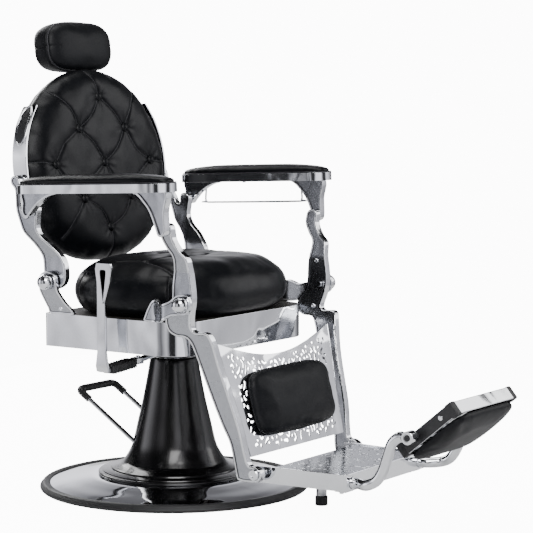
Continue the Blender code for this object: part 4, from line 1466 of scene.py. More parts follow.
@dataclass
class SideFrame(SubAssembly):
    """The castings, brackets and pivots of one side.

    Args:
        side: left or right.
        ball_radius: radius of a polished ball.
        ball_x: distance of a ball's centre from the middle.
        pin_x: distance of a pin's inner end from the middle.
        pin_radius: radius of a pin.
        flat: distance of a ball's flat from its centre.
    """

    side: str = "left"
    ball_radius: float = 0.0195
    ball_x: float = 0.309
    pin_x: float = 0.262
    pin_radius: float = 0.008
    flat: float = 0.0065

    WING: ClassVar[Sequence[Point]] = [
        (-0.120, 0.4425), (-0.122, 0.458), (-0.132, 0.478), (-0.142, 0.491), (-0.157, 0.4965), (-0.170, 0.491),
        (-0.180, 0.487), (-0.209, 0.495), (-0.236, 0.512), (-0.262, 0.512), (-0.272, 0.491), (-0.262, 0.470),
        (-0.240, 0.466), (-0.215, 0.462), (-0.186, 0.448), (-0.165, 0.4425)]
    REAR_BRACKET: ClassVar[Sequence[Point]] = [
        (0.094, 0.4425), (0.130, 0.4425), (0.162, 0.4425), (0.168, 0.455), (0.172, 0.500), (0.170, 0.535),
        (0.146, 0.546), (0.124, 0.535), (0.118, 0.505), (0.108, 0.472), (0.094, 0.452)]
    FRONT_FRAME: ClassVar[Sequence[Point]] = [
        (-0.226, 0.660), (-0.228, 0.636), (-0.243, 0.611), (-0.259, 0.594), (-0.263, 0.563), (-0.270, 0.505),
        (-0.264, 0.468), (-0.258, 0.438), (-0.268, 0.427), (-0.296, 0.427), (-0.308, 0.409), (-0.322, 0.341),
        (-0.342, 0.270), (-0.360, 0.205), (-0.369, 0.150), (-0.376, 0.126), (-0.391, 0.123), (-0.404, 0.116),
        (-0.408, 0.104), (-0.402, 0.092), (-0.390, 0.087), (-0.350, 0.087), (-0.339, 0.100), (-0.329, 0.170),
        (-0.3095, 0.216), (-0.2815, 0.293), (-0.2585, 0.368), (-0.247, 0.399), (-0.236, 0.411), (-0.212, 0.413),
        (-0.193, 0.423), (-0.188, 0.440), (-0.191, 0.457), (-0.206, 0.478), (-0.212, 0.500), (-0.214, 0.540),
        (-0.221, 0.592), (-0.207, 0.616), (-0.195, 0.640), (-0.196, 0.662), (-0.203, 0.672), (-0.213, 0.674),
        (-0.222, 0.670)]
    REAR_FRAME: ClassVar[Sequence[Point]] = [
        (0.162, 0.506), (0.170, 0.521), (0.168, 0.545), (0.172, 0.580), (0.189, 0.607), (0.214, 0.634),
        (0.228, 0.668), (0.240, 0.705), (0.252, 0.735), (0.264, 0.748), (0.265, 0.762), (0.252, 0.769),
        (0.240, 0.760), (0.232, 0.735), (0.222, 0.702), (0.210, 0.676), (0.200, 0.676), (0.199, 0.690),
        (0.192, 0.701), (0.178, 0.702), (0.169, 0.692), (0.171, 0.672), (0.173, 0.646), (0.160, 0.624),
        (0.130, 0.600), (0.108, 0.573), (0.101, 0.545), (0.104, 0.522), (0.118, 0.508), (0.142, 0.501)]
    FRONT_LEAN: ClassVar[Sequence[Point]] = [
        (0.106, 0.210), (0.300, 0.238), (0.400, 0.2570), (0.425, 0.2672), (0.455, 0.2765), (0.470, 0.2805),
        (0.560, 0.2805), (0.600, 0.2900), (0.660, 0.3015)]
    REAR_LEAN: ClassVar[Sequence[Point]] = [
        (0.580, 0.2805), (0.640, 0.2990), (0.690, 0.3015), (0.735, 0.2850), (0.765, 0.2838)]

    def build(self) -> None:
        """Builds the two frames, two brackets and two pivots."""
        sign = SIDES[self.side]
        front, rear = joint_place("leg_swing"), joint_place("recline")
        wing_lean = [(-0.190, 0.2970), (-0.150, 0.2680)]
        bracket_lean = [(0.452, 0.2680), (0.500, 0.2970)]
        wing = Casting(self.WING, wing_lean, 0.010, 0.0030, 0.0016, lean_axis=1, edge=0.0015)
        bracket = Casting(self.REAR_BRACKET, bracket_lean, 0.010, 0.0030, 0.0012, edge=0.0015)
        leg = Casting(self.FRONT_FRAME, self.FRONT_LEAN, 0.020)
        arm = Casting(self.REAR_FRAME, self.REAR_LEAN, 0.018)
        for casting, name, body, pivot in (
                (wing, "front_bracket", "seat", front), (bracket, "rear_bracket", "seat", rear),
                (leg, "front_frame", "legrest", front), (arm, "rear_frame", "back", rear)):
            shape = cut(casting.build(), self._peg(0.009, 0.24, 0.34, pivot.y, pivot.z))
            if name == "front_frame":
                bolt = joint_place("footplate_fold")
                shape = cut(shape, self._peg(0.0085, 0.15, 0.25, bolt.y, bolt.z))
            self.piece(mirrored(shape, sign), f"{name}_casting_{self.side}", body, Surface.CASTING,
                       Surface.RECESS, Surface.RECESS_SHADE, stands_for=(f"{name}_{self.side}",))
        for name, pivot in (("front_pivot", front), ("rear_pivot", rear)):
            self._pivot(name, pivot, sign)
        self._hardware(sign)

    @staticmethod
    def _peg(radius: float, start: float, end: float, y: float, z: float) -> Mesh:
        """A round bar along X."""
        bar = spun([(0, 0), (radius, 0), (radius, end - start), (0, end - start)], 32)
        return pointed(bar, (1, 0, 0), (start, y, z))

    def _pivot(self, name: str, place: Vector, sign: int) -> None:
        """A pin with a polished ball and a dark collar behind it.

        Args:
            name: front_pivot or rear_pivot.
            place: where the joint stands.
            sign: 1 for the left side, -1 for the right.
        """
        ball = self.ball_x - self.pin_x
        sweep = math.degrees(math.asin(-self.flat / self.ball_radius))
        dome = [(r, x) for x, r in arc((ball, 0), self.ball_radius, 90 - sweep, 0, 18)]
        dome[-1] = (0, dome[-1][1])
        profile = [(0, 0), (self.pin_radius, 0), (self.pin_radius, ball - self.flat), *dome]
        shape = pointed(spun(profile, 48), (1, 0, 0), (self.pin_x, place.y, place.z))
        self.piece(mirrored(shape, sign), f"{name}_ball_{self.side}", "seat", Surface.CHROME,
                   stands_for=(f"{name}_{self.side}",))
        washer = [(0.0085, 0), (0.0145, 0), (0.0155, 0.0008), (0.0155, 0.0024), (0.0085, 0.0030)]
        behind = self.ball_x - self.flat - 0.0034
        collar = pointed(spun(washer, 48, ring=True), (1, 0, 0), (behind, place.y, place.z))
        self.piece(mirrored(collar, sign), f"{name}_collar_{self.side}", "seat", Surface.RUBBER)

    def _hardware(self, sign: int) -> None:
        """Small screws on both faces of the bracket's foot, and on the inner face of the front frame.

        Args:
            sign: 1 for the left side, -1 for the right.
        """
        screws = []
        for (x, y, z), out in (((0.2735, 0.128, 0.4555), 1), ((0.2628, 0.128, 0.4555), -1)):
            screws.append(pointed(socket_screw(0.0052, 0.0032), (out, 0, 0), (x, y, z)))
        self.piece(mirrored(joined(screws), sign), f"bracket_screws_{self.side}", "seat", Surface.CHROME)
        bolts = [pointed(socket_screw(0.0055, 0.0034), (-1, 0, 0), (between(z, self.FRONT_LEAN) - 0.0076, y, z))
                 for y, z in ((-0.238, 0.548), (-0.236, 0.436))]
        self.piece(mirrored(joined(bolts), sign), f"frame_bolts_{self.side}", "legrest", Surface.CHROME)


@dataclass
class Armrest(SubAssembly):
    """A tray on two legs, its pad, and on the left the towel bar.

    Args:
        side: left or right.
        middle_x: distance of the tray from the chair's middle.
        half_width: half of the tray's width.
        reach: front and rear of the tray.
        underside: height of the tray's underside before it is tilted.
        tilt: how far it falls towards the rear, in degrees.
        height: height of the tray's band.
    """

    side: str = "left"
    middle_x: float = 0.323
    half_width: float = 0.043
    reach: Point = (-0.243, 0.204)
    underside: float = 0.7375
    tilt: float = 2.2
    height: float = 0.020

    REAR_LEG: ClassVar[Sequence[Point]] = [
        (0.085, 0.736), (0.118, 0.724), (0.148, 0.706), (0.170, 0.684), (0.178, 0.675), (0.190, 0.675),
        (0.197, 0.686), (0.196, 0.706), (0.192, 0.736)]
    FRONT_LEG: ClassVar[Sequence[Point]] = [
        (-0.125, 0.750), (-0.150, 0.732), (-0.178, 0.702), (-0.196, 0.664), (-0.204, 0.646), (-0.217, 0.645),
        (-0.225, 0.658), (-0.224, 0.700), (-0.224, 0.750)]

    def _tilted(self, bm: Mesh) -> Mesh:
        """Tilts a shape with the tray."""
        turn = Matrix.Rotation(math.radians(-self.tilt), 3, "X")
        bmesh.ops.rotate(bm, cent=(0, sum(self.reach) / 2, self.underside), matrix=turn, verts=bm.verts)
        return bm

    def build(self) -> None:
        """Builds the tray with its legs, and the pad."""
        sign, body = SIDES[self.side], f"arm_{self.side}"
        front, rear = self.reach
        outline = arc((self.middle_x, front + self.half_width), self.half_width, 180, 360, 24)
        outline += arc((self.middle_x, rear - self.half_width), self.half_width, 0, 180, 24)
        tray = round_edges(plate(outline, [], self.height), 0.0022, 4, 60)
        parts = [self._tilted(moved(tray, (0, 0, self.underside)))]
        for leg in (self.REAR_LEG, self.FRONT_LEG):
            parts.append(Casting(leg, [(0, self.middle_x - 0.0005)], 0.020, 0.0030, 0.0040, per_span=5).build())
        self.piece(mirrored(joined(parts), sign), f"tray_and_legs_{self.side}", body, Surface.CASTING,
                   Surface.RECESS, Surface.RECESS_SHADE, stands_for=(f"armrest_tray_{self.side}",))
        spots = ((0.022, 0.120), (0.022, -0.150), (-0.022, 0.0))
        screws = [self._tilted(pointed(socket_screw(0.0042, 0.0026), (0, 0, -1),
                                       (self.middle_x + dx, y, self.underside))) for dx, y in spots]
        self.piece(mirrored(joined(screws), sign), f"tray_screws_{self.side}", body, Surface.CHROME)
        self._pad(sign, body)
        if self.side == "left":
            self._towel_bar()

    def _pad(self, sign: int, body: str) -> None:
        """The thin crowned pad with a welt round its foot.

        Args:
            sign: 1 for the left side, -1 for the right.
            body: the body that it rides on.
        """
        node = f"armrest_pad_{self.side}"
        low, high = corners(node)
        centre = (low + high) / 2
        centre.z = low.z
        slope = math.tan(math.radians(self.tilt))

        def held(place: Vector) -> float:
            """How firmly the hide is held at a place, 0 to 1."""
            lift = place.z - centre.z - 0.010 + (place.y - centre.y) * slope
            return 1.0 if lift < 0.003 else 0.0

        shape = Stuffing(1.0, 0.004, 2.0, 0.003, 16, held, 5).fill(copy_of(node), centre)
        for vert in shape.verts:
            tray_top = self.underside + self.height + 0.0002 - (vert.co.y - sum(self.reach) / 2) * slope
            vert.co.z = max(vert.co.z, tray_top)
        self.piece(shape, f"arm_pad_{self.side}", body, Surface.HIDE, stands_for=(node,),
                   fill=0.8, crease=80)
        outline = superellipse(self.half_width - 0.0025, (self.reach[1] - self.reach[0]) / 2 - 0.0025, 3.4, 96)
        path = [(sign * self.middle_x + u, sum(self.reach) / 2 + v,
                 self.underside + self.height + 0.0019 - v * slope) for u, v in outline]
        self.rod([*path, path[0]], 0.0015, f"arm_pad_welt_{self.side}", body, Surface.THREAD_AND_PLEAT_SHADE)

    def _towel_bar(self) -> None:
        """The thin bar under the left tray."""
        x = 0.345
        ends = [(-0.145, 0.7417), (-0.1465, 0.715)]
        low = [(-0.1480, 0.7000), (-0.1460, 0.6925), (-0.1390, 0.6890), (0.1430, 0.6770), (0.1500, 0.6795),
               (0.1530, 0.6860), (0.1515, 0.710), (0.150, 0.7303)]
        points = [(x, y, z) for y, z in (*ends, *low)]
        self.rod(smooth_path(points, 4), 0.0025, "towel_rail", "arm_left", Surface.CHROME, ("towel_bar",))


@dataclass
class Backrest(SubAssembly):
    """Button-tufted round back with its shell, edge straps and headrest.

    Args:
        place: the middle of the back.
        lean: its lean in degrees.
        half: half width and half height.
        strap_depth: front and rear edge of the straps.
        strap_rise: lower and upper end of the straps.
        strap_gap: gap between the strap and the back.
        strap_wall: thickness of a strap.
        button_rise: how far a button stands above the bottom of its dimple.
        head_middle: height of the headrest's middle above the back's.
        head_half: half width and half height of the headrest's welts.
        head_square: squareness of those welts.
        tufting: buttons and pleats.
    """

    place: tuple[float, float, float] = (0.0, 0.225, 0.787)
    lean: float = 6.6
    half: Point = (0.265, 0.237)
    strap_depth: Point = (0.006, 0.050)
    strap_rise: Point = (-0.052, 0.150)
    strap_gap: float = 0.003
    strap_wall: float = 0.006
    button_rise: float = 0.0062
    head_middle: float = 0.296
    head_half: Point = (0.1155, 0.0570)
    head_square: float = 3.2
    tufting: Tufting = Tufting(
        buttons=((0, 0.167), (-0.089, 0.088), (0.089, 0.088), (-0.186, 0.003), (0, 0.003), (0.186, 0.003),
                 (-0.093, -0.084), (0.093, -0.084), (0, -0.158)),
        pleats=(((0, 0.167), (-0.006, 0.195), (-0.022, 0.232)),
                ((0, 0.167), (-0.040, 0.120), (-0.089, 0.088)),
                ((0, 0.167), (0.045, 0.132), (0.089, 0.088)),
                ((-0.089, 0.088), (-0.040, 0.052), (0, 0.003)),
                ((0.089, 0.088), (0.050, 0.040), (0, 0.003)),
                ((-0.089, 0.088), (-0.150, 0.055), (-0.186, 0.003)),
                ((0.089, 0.088), (0.128, 0.032), (0.186, 0.003)),
                ((-0.186, 0.003), (-0.225, 0.010), (-0.268, 0.012)),
                ((0.186, 0.003), (0.225, -0.002), (0.268, 0.006)),
                ((-0.186, 0.003), (-0.150, -0.050), (-0.093, -0.084)),
                ((0, 0.003), (-0.058, -0.034), (-0.093, -0.084)),
                ((0, 0.003), (0.036, -0.050), (0.093, -0.084)),
                ((0.186, 0.003), (0.128, -0.030), (0.093, -0.084)),
                ((-0.093, -0.084), (-0.036, -0.112), (0, -0.158)),
                ((0.093, -0.084), (0.052, -0.130), (0, -0.158)),
                ((-0.089, 0.088), (-0.120, 0.140), (-0.170, 0.185)),
                ((0.089, 0.088), (0.122, 0.150), (0.165, 0.190)),
                ((-0.093, -0.084), (-0.140, -0.130), (-0.175, -0.175)),
                ((0.093, -0.084), (0.145, -0.122), (0.178, -0.172)),
                ((0, -0.158), (0.003, -0.195), (0.0, -0.235))))

    def frame_matrix(self) -> Matrix:
        """From the back's own frame (across, depth, height) to the chair's."""
        return Matrix.Translation(self.place) @ Matrix.Rotation(math.radians(-self.lean), 4, "X")

    def half_width(self, height: float) -> float:
        """Half of the back's width at a height above its middle."""
        square = 2.0 if height > 0 else 2.35
        return self.half[0] * (1 - min(abs(height / self.half[1]), 1.0) ** square) ** (1 / square)

    def build(self) -> None:
        """Builds and dresses every piece."""
        skin = self._cushion()
        self._buttons(skin)
        self.eased("back_shell", "back", Surface.SHELL, 0.004, 3)
        self.eased("headrest_socket", "back", Surface.PAINT_AND_SIDE_SHADE, 0.0012)
        self.eased("headrest_post", "headrest", Surface.CHROME, 0.0010)
        for name, side in SIDES.items():
            self._strap(name, side)
        self._rear_details()
        self._headrest()

    def _cushion(self) -> Skin:
        """The swollen, tufted pad.

        Returns:
            Its surface, for the buttons to sit on.
        """
        matrix = self.frame_matrix()
        flat = matrix.inverted()
        buttons = self.tufting.buttons

        def held(place: Vector) -> float:
            """How firmly the hide is held at a place, 0 to 1."""
            spot = flat @ place
            if spot.y > 0.026:
                return 1.0
            near = min(math.hypot(spot.x - u, spot.z - v) for u, v in buttons)
            return 1.0 if near < 0.013 and spot.y < 0.0 else 0.0

        shape = Stuffing(1.020, 0.0055, 3.5, 0.011, held=held).fill(copy_of("back_cushion"), Vector(self.place))
        for vert in shape.verts:
            spot = flat @ vert.co
            face = min(max((0.020 - spot.y) / 0.022, 0.0), 1.0)
            if face > 0:
                spot.y += face * self.tufting.depth_at(spot.x, spot.z)
                spot.y += face * 0.0016 * noise.noise(spot * 24)
                vert.co = matrix @ spot
        skin = Skin(shape)
        ahead = matrix.to_3x3() @ Vector((0, 1, 0))
        # A matt dark rod along each pleat stands in for the shade in its crease: painted shade.
        for number, pleat in enumerate(self.tufting.pleats):
            knots = smooth_path([(u, v, 0) for u, v in pleat], 14)
            laid = [skin.hit(matrix @ Vector((p.x, -0.15, p.y)), ahead) for p in knots]
            kept = [spot - ahead * 0.0002 for spot, normal in laid if normal.dot(ahead) < -0.15]
            self.rod(kept, 0.0010, f"back_pleat_shade_{number}", "back", Surface.THREAD_AND_PLEAT_SHADE)
        self.piece(shape, "back_pad", "back", Surface.HIDE, stands_for=("back_cushion",),
                   fill=0.85, crease=80)
        return skin

    def _buttons(self, skin: Skin) -> None:
        """Covered buttons that sit in the dimples.

        Args:
            skin: the pad's surface.
        """
        matrix = self.frame_matrix()
        ahead = matrix.to_3x3() @ Vector((0, 1, 0))
        caps = []
        for u, v in self.tufting.buttons:
            spot, _ = skin.hit(matrix @ Vector((u, -0.15, v)), ahead)
            profile = [(0, -0.004), (0.0090, -0.004), (0.0108, -0.001), *arc((0, -0.0092), 0.0142, 38, 90, 8)]
            caps.append(pointed(spun(profile, 28), -ahead, spot - ahead * self.button_rise))
        self.piece(joined(caps), "back_buttons", "back", Surface.HIDE, fill=1.0, crease=60)

    def _strap(self, name: str, side: int) -> None:
        """A bowed chrome strip with its bolt, the loop at its top and the dark inlay in the loop.

        Args:
            name: left or right.
            side: 1 for the left, -1 for the right.
        """
        low, high = self.strap_rise
        heights = [low + (high - low) * i / 28 for i in range(29)]
        inner = [(self.half_width(h) + self.strap_gap, h) for h in heights]
        outer = [(x + self.strap_wall, h) for x, h in reversed(inner)]
        bm = plate(inner + outer, [], self.strap_depth[1] - self.strap_depth[0])
        bmesh.ops.rotate(bm, matrix=Matrix.Rotation(math.pi / 2, 3, "X"), verts=bm.verts)
        bmesh.ops.translate(bm, vec=(0, self.strap_depth[1], 0), verts=bm.verts)
        round_edges(bm, 0.0016, 3, 60)
        bmesh.ops.transform(bm, matrix=self.frame_matrix(), verts=bm.verts)
        self.piece(mirrored(bm, side), f"back_band_{name}", "back", Surface.CHROME,
                   stands_for=(f"back_strap_{name}",))
        matrix = self.frame_matrix()
        width = self.half_width(-0.034) + self.strap_gap + self.strap_wall
        bolt = pointed(socket_screw(0.0055, 0.0030), (1, 0, 0), (0, 0, 0))
        moved(bolt, matrix @ Vector((width - 0.0006, 0.028, -0.034)))
        self.piece(mirrored(bolt, side), f"band_bolt_{name}", "back", Surface.CHROME)
        clear = self.strap_gap + self.strap_wall
        loop = []
        for i in range(49):
            angle = math.tau * i / 48
            rise = high - 0.047 + 0.046 * math.cos(angle)
            across, deep = side * (self.half_width(rise) + clear), 0.028 + 0.0185 * math.sin(angle)
            loop.append(matrix @ Vector((across, deep, rise)))
        self.rod(loop, 0.0028, f"band_loop_{name}", "back", Surface.CHROME)
        heights = [high - 0.088 + 0.082 * i / 28 for i in range(29)]
        face = [(self.half_width(h) + clear + 0.0014, h) for h in heights]
        back = [(self.half_width(h) + clear - 0.0030, h) for h in reversed(heights)]
        inlay = plate(back[::-1] + face[::-1], [], 0.024)
        bmesh.ops.rotate(inlay, matrix=Matrix.Rotation(math.pi / 2, 3, "X"), verts=inlay.verts)
        bmesh.ops.translate(inlay, vec=(0, 0.040, 0), verts=inlay.verts)
        bmesh.ops.transform(inlay, matrix=matrix, verts=inlay.verts)
        self.piece(mirrored(inlay, side), f"band_inlay_{name}", "back", Surface.PAINT_AND_SIDE_SHADE)

    def _rear_details(self) -> None:
        """Screws that hold the shell and the socket, and a welt round the shell's edge."""
        matrix = self.frame_matrix()
        behind = matrix.to_3x3() @ Vector((0, 1, 0))
        depth = 0.0572
        spots = [(0.17 * math.cos(a), 0.15 * math.sin(a)) for a in (math.tau * (i + 0.5) / 6 for i in range(6))]
        screws = [pointed(socket_screw(0.006, 0.0028), behind, matrix @ Vector((x, depth, z)))
                  for x, z in spots]
        self.piece(joined(screws), "shell_screws", "back", Surface.CHROME)
        outline = [(0.962 * self.half_width(self.half[1] * math.sin(a)) * math.copysign(1, math.cos(a)),
                    0.962 * self.half[1] * math.sin(a)) for a in (math.tau * i / 144 for i in range(144))]
        welt = [matrix @ Vector((x, 0.0455, z)) for x, z in outline]
        self.rod([*welt, welt[0]], 0.0026, "back_welt", "back", Surface.MATT_HIDE)

    def _headrest(self) -> None:
        """The headrest cushion with its welts and stitched gussets."""
        matrix = self.frame_matrix()
        flat = matrix.inverted()
        low, high = corners("headrest_cushion")
        centre = (low + high) / 2

        def held(place: Vector) -> float:
            """How firmly the hide is held at a place, 0 to 1."""
            spot = flat @ place
            near_post = abs(spot.x) < 0.030 and spot.z < 0.262 and spot.y > 0.045
            return 1.0 if near_post else 0.0

        stuffing = Stuffing(1.105, 0.0045, 3.0, 0.005, held=held, tightness=9)
        shape = stuffing.fill(copy_of("headrest_cushion"), centre)
        for vert in shape.verts:
            spot = flat @ vert.co
            rise = spot.z - self.head_middle
            side = abs(math.remainder(math.atan2(rise, spot.x), math.pi))
            away = abs(rise) if side < 0.5 and abs(spot.x) > 0.09 else 1.0
            groove = 0.0022 * math.exp(-(away / 0.0028) ** 2)
            front_seam = 0.0020 * math.exp(-((spot.y - 0.034) / 0.0030) ** 2)
            seam = front_seam + 0.0016 * math.exp(-((spot.y - 0.078) / 0.003) ** 2)
            out = Vector((spot.x, 0, rise))
            spot -= out.normalized() * (groove + seam)
            vert.co = matrix @ spot
        skin = Skin(shape)
        self.piece(shape, "head_pad", "headrest", Surface.MATT_HIDE, stands_for=("headrest_cushion",),
                   fill=0.9, crease=80)
        for name, depth, radius in (("front", 0.0345, 0.0021), ("rear", 0.0785, 0.0018)):
            path = []
            for u, v in superellipse(*self.head_half, self.head_square, 120):
                spot, normal = skin.nearest(matrix @ Vector((u, depth, self.head_middle + v)))
                path.append(spot + normal * radius * 0.35)
            self.rod([*path, path[0]], radius, f"head_welt_{name}", "headrest", Surface.THREAD_AND_PLEAT_SHADE)
        self._stitches(skin, matrix)

    def _stitches(self, skin: Skin, matrix: Matrix) -> None:
        """Two rows of stitches beside the front welt.

        Args:
            skin: the headrest pad's surface.
            matrix: from the back's own frame to the chair's.
        """
        stitches = []
        for depth in (0.0400, 0.0445):
            outline = superellipse(*self.head_half, self.head_square, 110)
            for (u, v), (p, q) in zip(outline, outline[1:] + outline[:1]):
                spot, normal = skin.nearest(matrix @ Vector((u, depth, self.head_middle + v)))
                along = matrix.to_3x3() @ Vector((p - u, 0, q - v)).normalized()
                bit = bmesh.new()
                bmesh.ops.create_icosphere(bit, subdivisions=1, radius=1)
                bmesh.ops.scale(bit, vec=(0.0006, 0.0006, 0.0017), verts=bit.verts)
                stitches.append(pointed(bit, along, spot + normal * 0.0002))
        self.piece(joined(stitches), "head_stitches", "headrest", Surface.THREAD_AND_PLEAT_SHADE, crease=80)


@dataclass
class ReclineLever(SubAssembly):
    """Flat lever with a grooved head, a ribbed sleeve and a clevis."""

    def build(self) -> None:
        """Builds and dresses every piece."""
        shape = copy_of("recline_lever")
        round_edges(shape, 0.0012, 3, 50)
        self.piece(shape, "lever_blade", "lever", Surface.CHROME, stands_for=("recline_lever",))
        low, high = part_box("recline_lever")
        axis = joint_place("recline_lever")
        groove = [(-0.0075, 0.560), (0.0075, 0.560), (0.0105, 0.552), (0.0085, 0.535), (0.0045, 0.505),
                  (0.0016, 0.485), (-0.0016, 0.485), (-0.0045, 0.505), (-0.0085, 0.535), (-0.0105, 0.552)]
        outline = [(axis.y - 0.007 + y, z) for y, z in groove]
        # The groove's floor and slope take the near-black recess material: painted shade in the lever's groove.
        panels = [Casting(outline, [(0, x)], 0.0008, 0.0012, 0.0004, edge=0.0002).build()
                  for x in (low[0] - 0.0001, low[0] + 0.0081)]
        self.piece(joined(panels), "lever_groove_shade_plates", "lever", Surface.CHROME, Surface.RECESS_SHADE,
                   Surface.RECESS_SHADE)
        self.eased("lever_sleeve", "lever", Surface.RUBBER, 0.0022, 3)
        ribs = []
        sleeve_low, sleeve_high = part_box("lever_sleeve")
        for i in range(8):
            x = sleeve_low[0] + 0.010 + (sleeve_high[0] - sleeve_low[0] - 0.020) * i / 7
            z = between(x, [(-0.300, 0.3225), (-0.190, 0.3305), (-0.100, 0.341)])
            size = (0.0028, sleeve_high[1] - sleeve_low[1] + 0.0016, 0.0216)
            ribs.append(block(size, (x, axis.y, z), 0.0009))
        self.piece(joined(ribs), "sleeve_ribs", "lever", Surface.RUBBER)
        self.dress("lever_shaft", Surface.STEEL)
        clevis = block((0.026, 0.024, 0.016), (-0.176, axis.y, 0.3325), 0.0025, 3)
        bolt = moved(socket_screw(0.0055, 0.0045), (-0.172, axis.y, 0.3400))
        self.piece(joined([clevis, bolt]), "lever_clevis", "lever", Surface.CHROME)


@dataclass
class Legrest(SubAssembly):
    """Pierced chrome panel with a calf pad, and the leg bolts.

    Args:
        top: (y, z) of the panel's upper corners.
        bottom: (y, z) of its lower edge.
        half: half widths of its top and bottom.
        scoop: depth of the hollow in its top edge.
        thickness: thickness of the panel.
        pad: half width and half height of the calf pad.
        pad_height: height of the pad's middle.
        bolt_span: distance of a leg bolt's inner end and of its head's foot from the middle.
        seed: seed of the pierced pattern.
    """

    top: Point = (-0.295, 0.398)
    bottom: Point = (-0.365, 0.140)
    half: Point = (0.233, 0.197)
    scoop: float = 0.045
    thickness: float = 0.003
    pad: Point = (0.162, 0.078)
    pad_height: float = 0.249
    bolt_span: Point = (0.178, 0.222)
    seed: int = 7

    def build(self) -> None:
        """Builds and dresses every piece."""
        self._panel()
        self._pad()
        for name, side in SIDES.items():
            self._bolt(name, side)

    def _openings(self) -> list[list[Point]]:
        """Small irregular openings round the pad: bent drops, bars and dots that keep clear of each other.

        Returns:
            The outline of each opening.
        """
        chance = random.Random(self.seed)
        placed: list[tuple[float, float, float, list[Point]]] = []
        for _ in range(9000):
            z = chance.uniform(self.bottom[1] + 0.016, self.top[1] - 0.014)
            wide = between(z, [(self.bottom[1], self.half[1]), (self.top[1], self.half[0])]) - 0.030
            x = chance.uniform(-wide, wide)
            length = chance.choice((0.0034, 0.0062, 0.0084, 0.0104))
            edge = self.top[1] - self.scoop * math.cos(math.pi / 2 * x / self.half[0]) - 0.008 - length
            on_pad = abs(x) < self.pad[0] - 0.003 and abs(z - self.pad_height) < self.pad[1] - 0.003
            if z > edge or on_pad:
                continue
            outline = self._drop(chance, x, z, length)
            near = [other for a, b, reach, other in placed if math.hypot(x - a, z - b) < reach + length + 0.006]
            if any(math.hypot(p - a, q - b) < 0.0027 for other in near for a, b in other for p, q in outline):
                continue
            if any(math.hypot(x - a, z - b) < 0.0080 for a, b, _, _ in placed):
                continue
            placed.append((x, z, length, outline))
        return [outline for _, _, _, outline in placed]

    @staticmethod
    def _drop(chance: random.Random, x: float, z: float, length: float) -> list[Point]:
        """One opening: a short bar, bent and wider at one end.

        Args:
            chance: the seeded source of its shape.
            x: its middle across the panel.
            z: its height.
            length: half of its length.

        Returns:
            Its outline.
        """
        turn, bend = chance.uniform(0, math.tau), chance.uniform(-0.9, 0.9)
        thin, broad = chance.uniform(0.0019, 0.0029), chance.uniform(0.0028, 0.0046)
        ends = [Vector((math.cos(turn + bend), math.sin(turn + bend))) * -length,
                Vector((math.cos(turn - bend), math.sin(turn - bend))) * length]
        corners = []
        for end, half in ((ends[0], thin), (ends[1], broad)):
            out = end.normalized()
            across = Vector((-out.y, out.x))
            corners += [end + across * half, end + out * half * 0.5, end - across * half]
        middle = Vector((math.cos(turn), math.sin(turn)))
        across = Vector((-middle.y, middle.x)) * (thin + broad) / 2
        corners = [*corners[:3], across * -1, *corners[3:], across]
        corners.sort(key=lambda p: math.atan2(p.y, p.x))
        return closed_curve([(x + p.x, z + p.y) for p in corners], 2)

    def _panel(self) -> None:
        """The pierced sheet, made flat and then leaned."""
        scoop = [(self.half[0] * (1 - i / 16), self.top[1] - self.scoop * math.sin(math.pi * i / 32))
                 for i in range(33)]
        outline = [(-self.half[1], self.bottom[1]), (self.half[1], self.bottom[1]), *scoop]
        bm = plate(outline, self._openings(), self.thickness)
        lean = [(self.bottom[1], self.bottom[0]), (self.top[1], self.top[0])]
        for vert in bm.verts:
            x, z, depth = vert.co
            vert.co = (x, depth - self.thickness / 2 + between(z, lean), z)
        bmesh.ops.recalc_face_normals(bm, faces=bm.faces)
        self.piece(bm, "pierced_panel", "legrest", Surface.CHROME, stands_for=("legrest_panel",), crease=30)

    def _pad(self) -> None:
        """The plump calf pad."""
        low, high = corners("calf_pad")
        centre = (low + high) / 2
        lean = [(self.bottom[1], self.bottom[0]), (self.top[1], self.top[0])]

        def held(place: Vector) -> float:
            """How firmly the hide is held at a place, 0 to 1."""
            return 1.0 if place.y > between(place.z, lean) - 0.008 else 0.0

        shape = Stuffing(1.020, 0.0045, 2.5, 0.004, held=held, tightness=7).fill(copy_of("calf_pad"), centre)
        for vert in shape.verts:
            vert.co.y = min(vert.co.y, between(vert.co.z, lean) - self.thickness / 2 - 0.0004)
            if vert.co.y < between(vert.co.z, lean) - 0.02:
                vert.co.y += 0.0010 * noise.noise(vert.co * 30)
        self.piece(shape, "calf_cushion", "legrest", Surface.MATT_HIDE, stands_for=("calf_pad",),
                   fill=0.9, crease=80)

    def _bolt(self, name: str, side: int) -> None:
        """A shouldered bolt whose head has a ring and a sunk socket.

        Args:
            name: left or right.
            side: 1 for the left, -1 for the right.
        """
        place = joint_place("footplate_fold")
        inside, outside = self.bolt_span
        shank = [(0, 0), (0.0075, 0), (0.0075, outside - inside), (0.0125, outside - inside),
                 (0.0125, outside - 0.1735), (0.0110, outside - 0.172), (0.0062, outside - 0.172),
                 (0.0056, outside - 0.174), (0, outside - 0.174)]
        shape = pointed(spun(shank, 40), (1, 0, 0), (inside, place.y, place.z))
        self.piece(mirrored(shape, side), f"shoulder_bolt_{name}", "legrest", Surface.CHROME,
                   stands_for=(f"leg_bolt_{name}",))


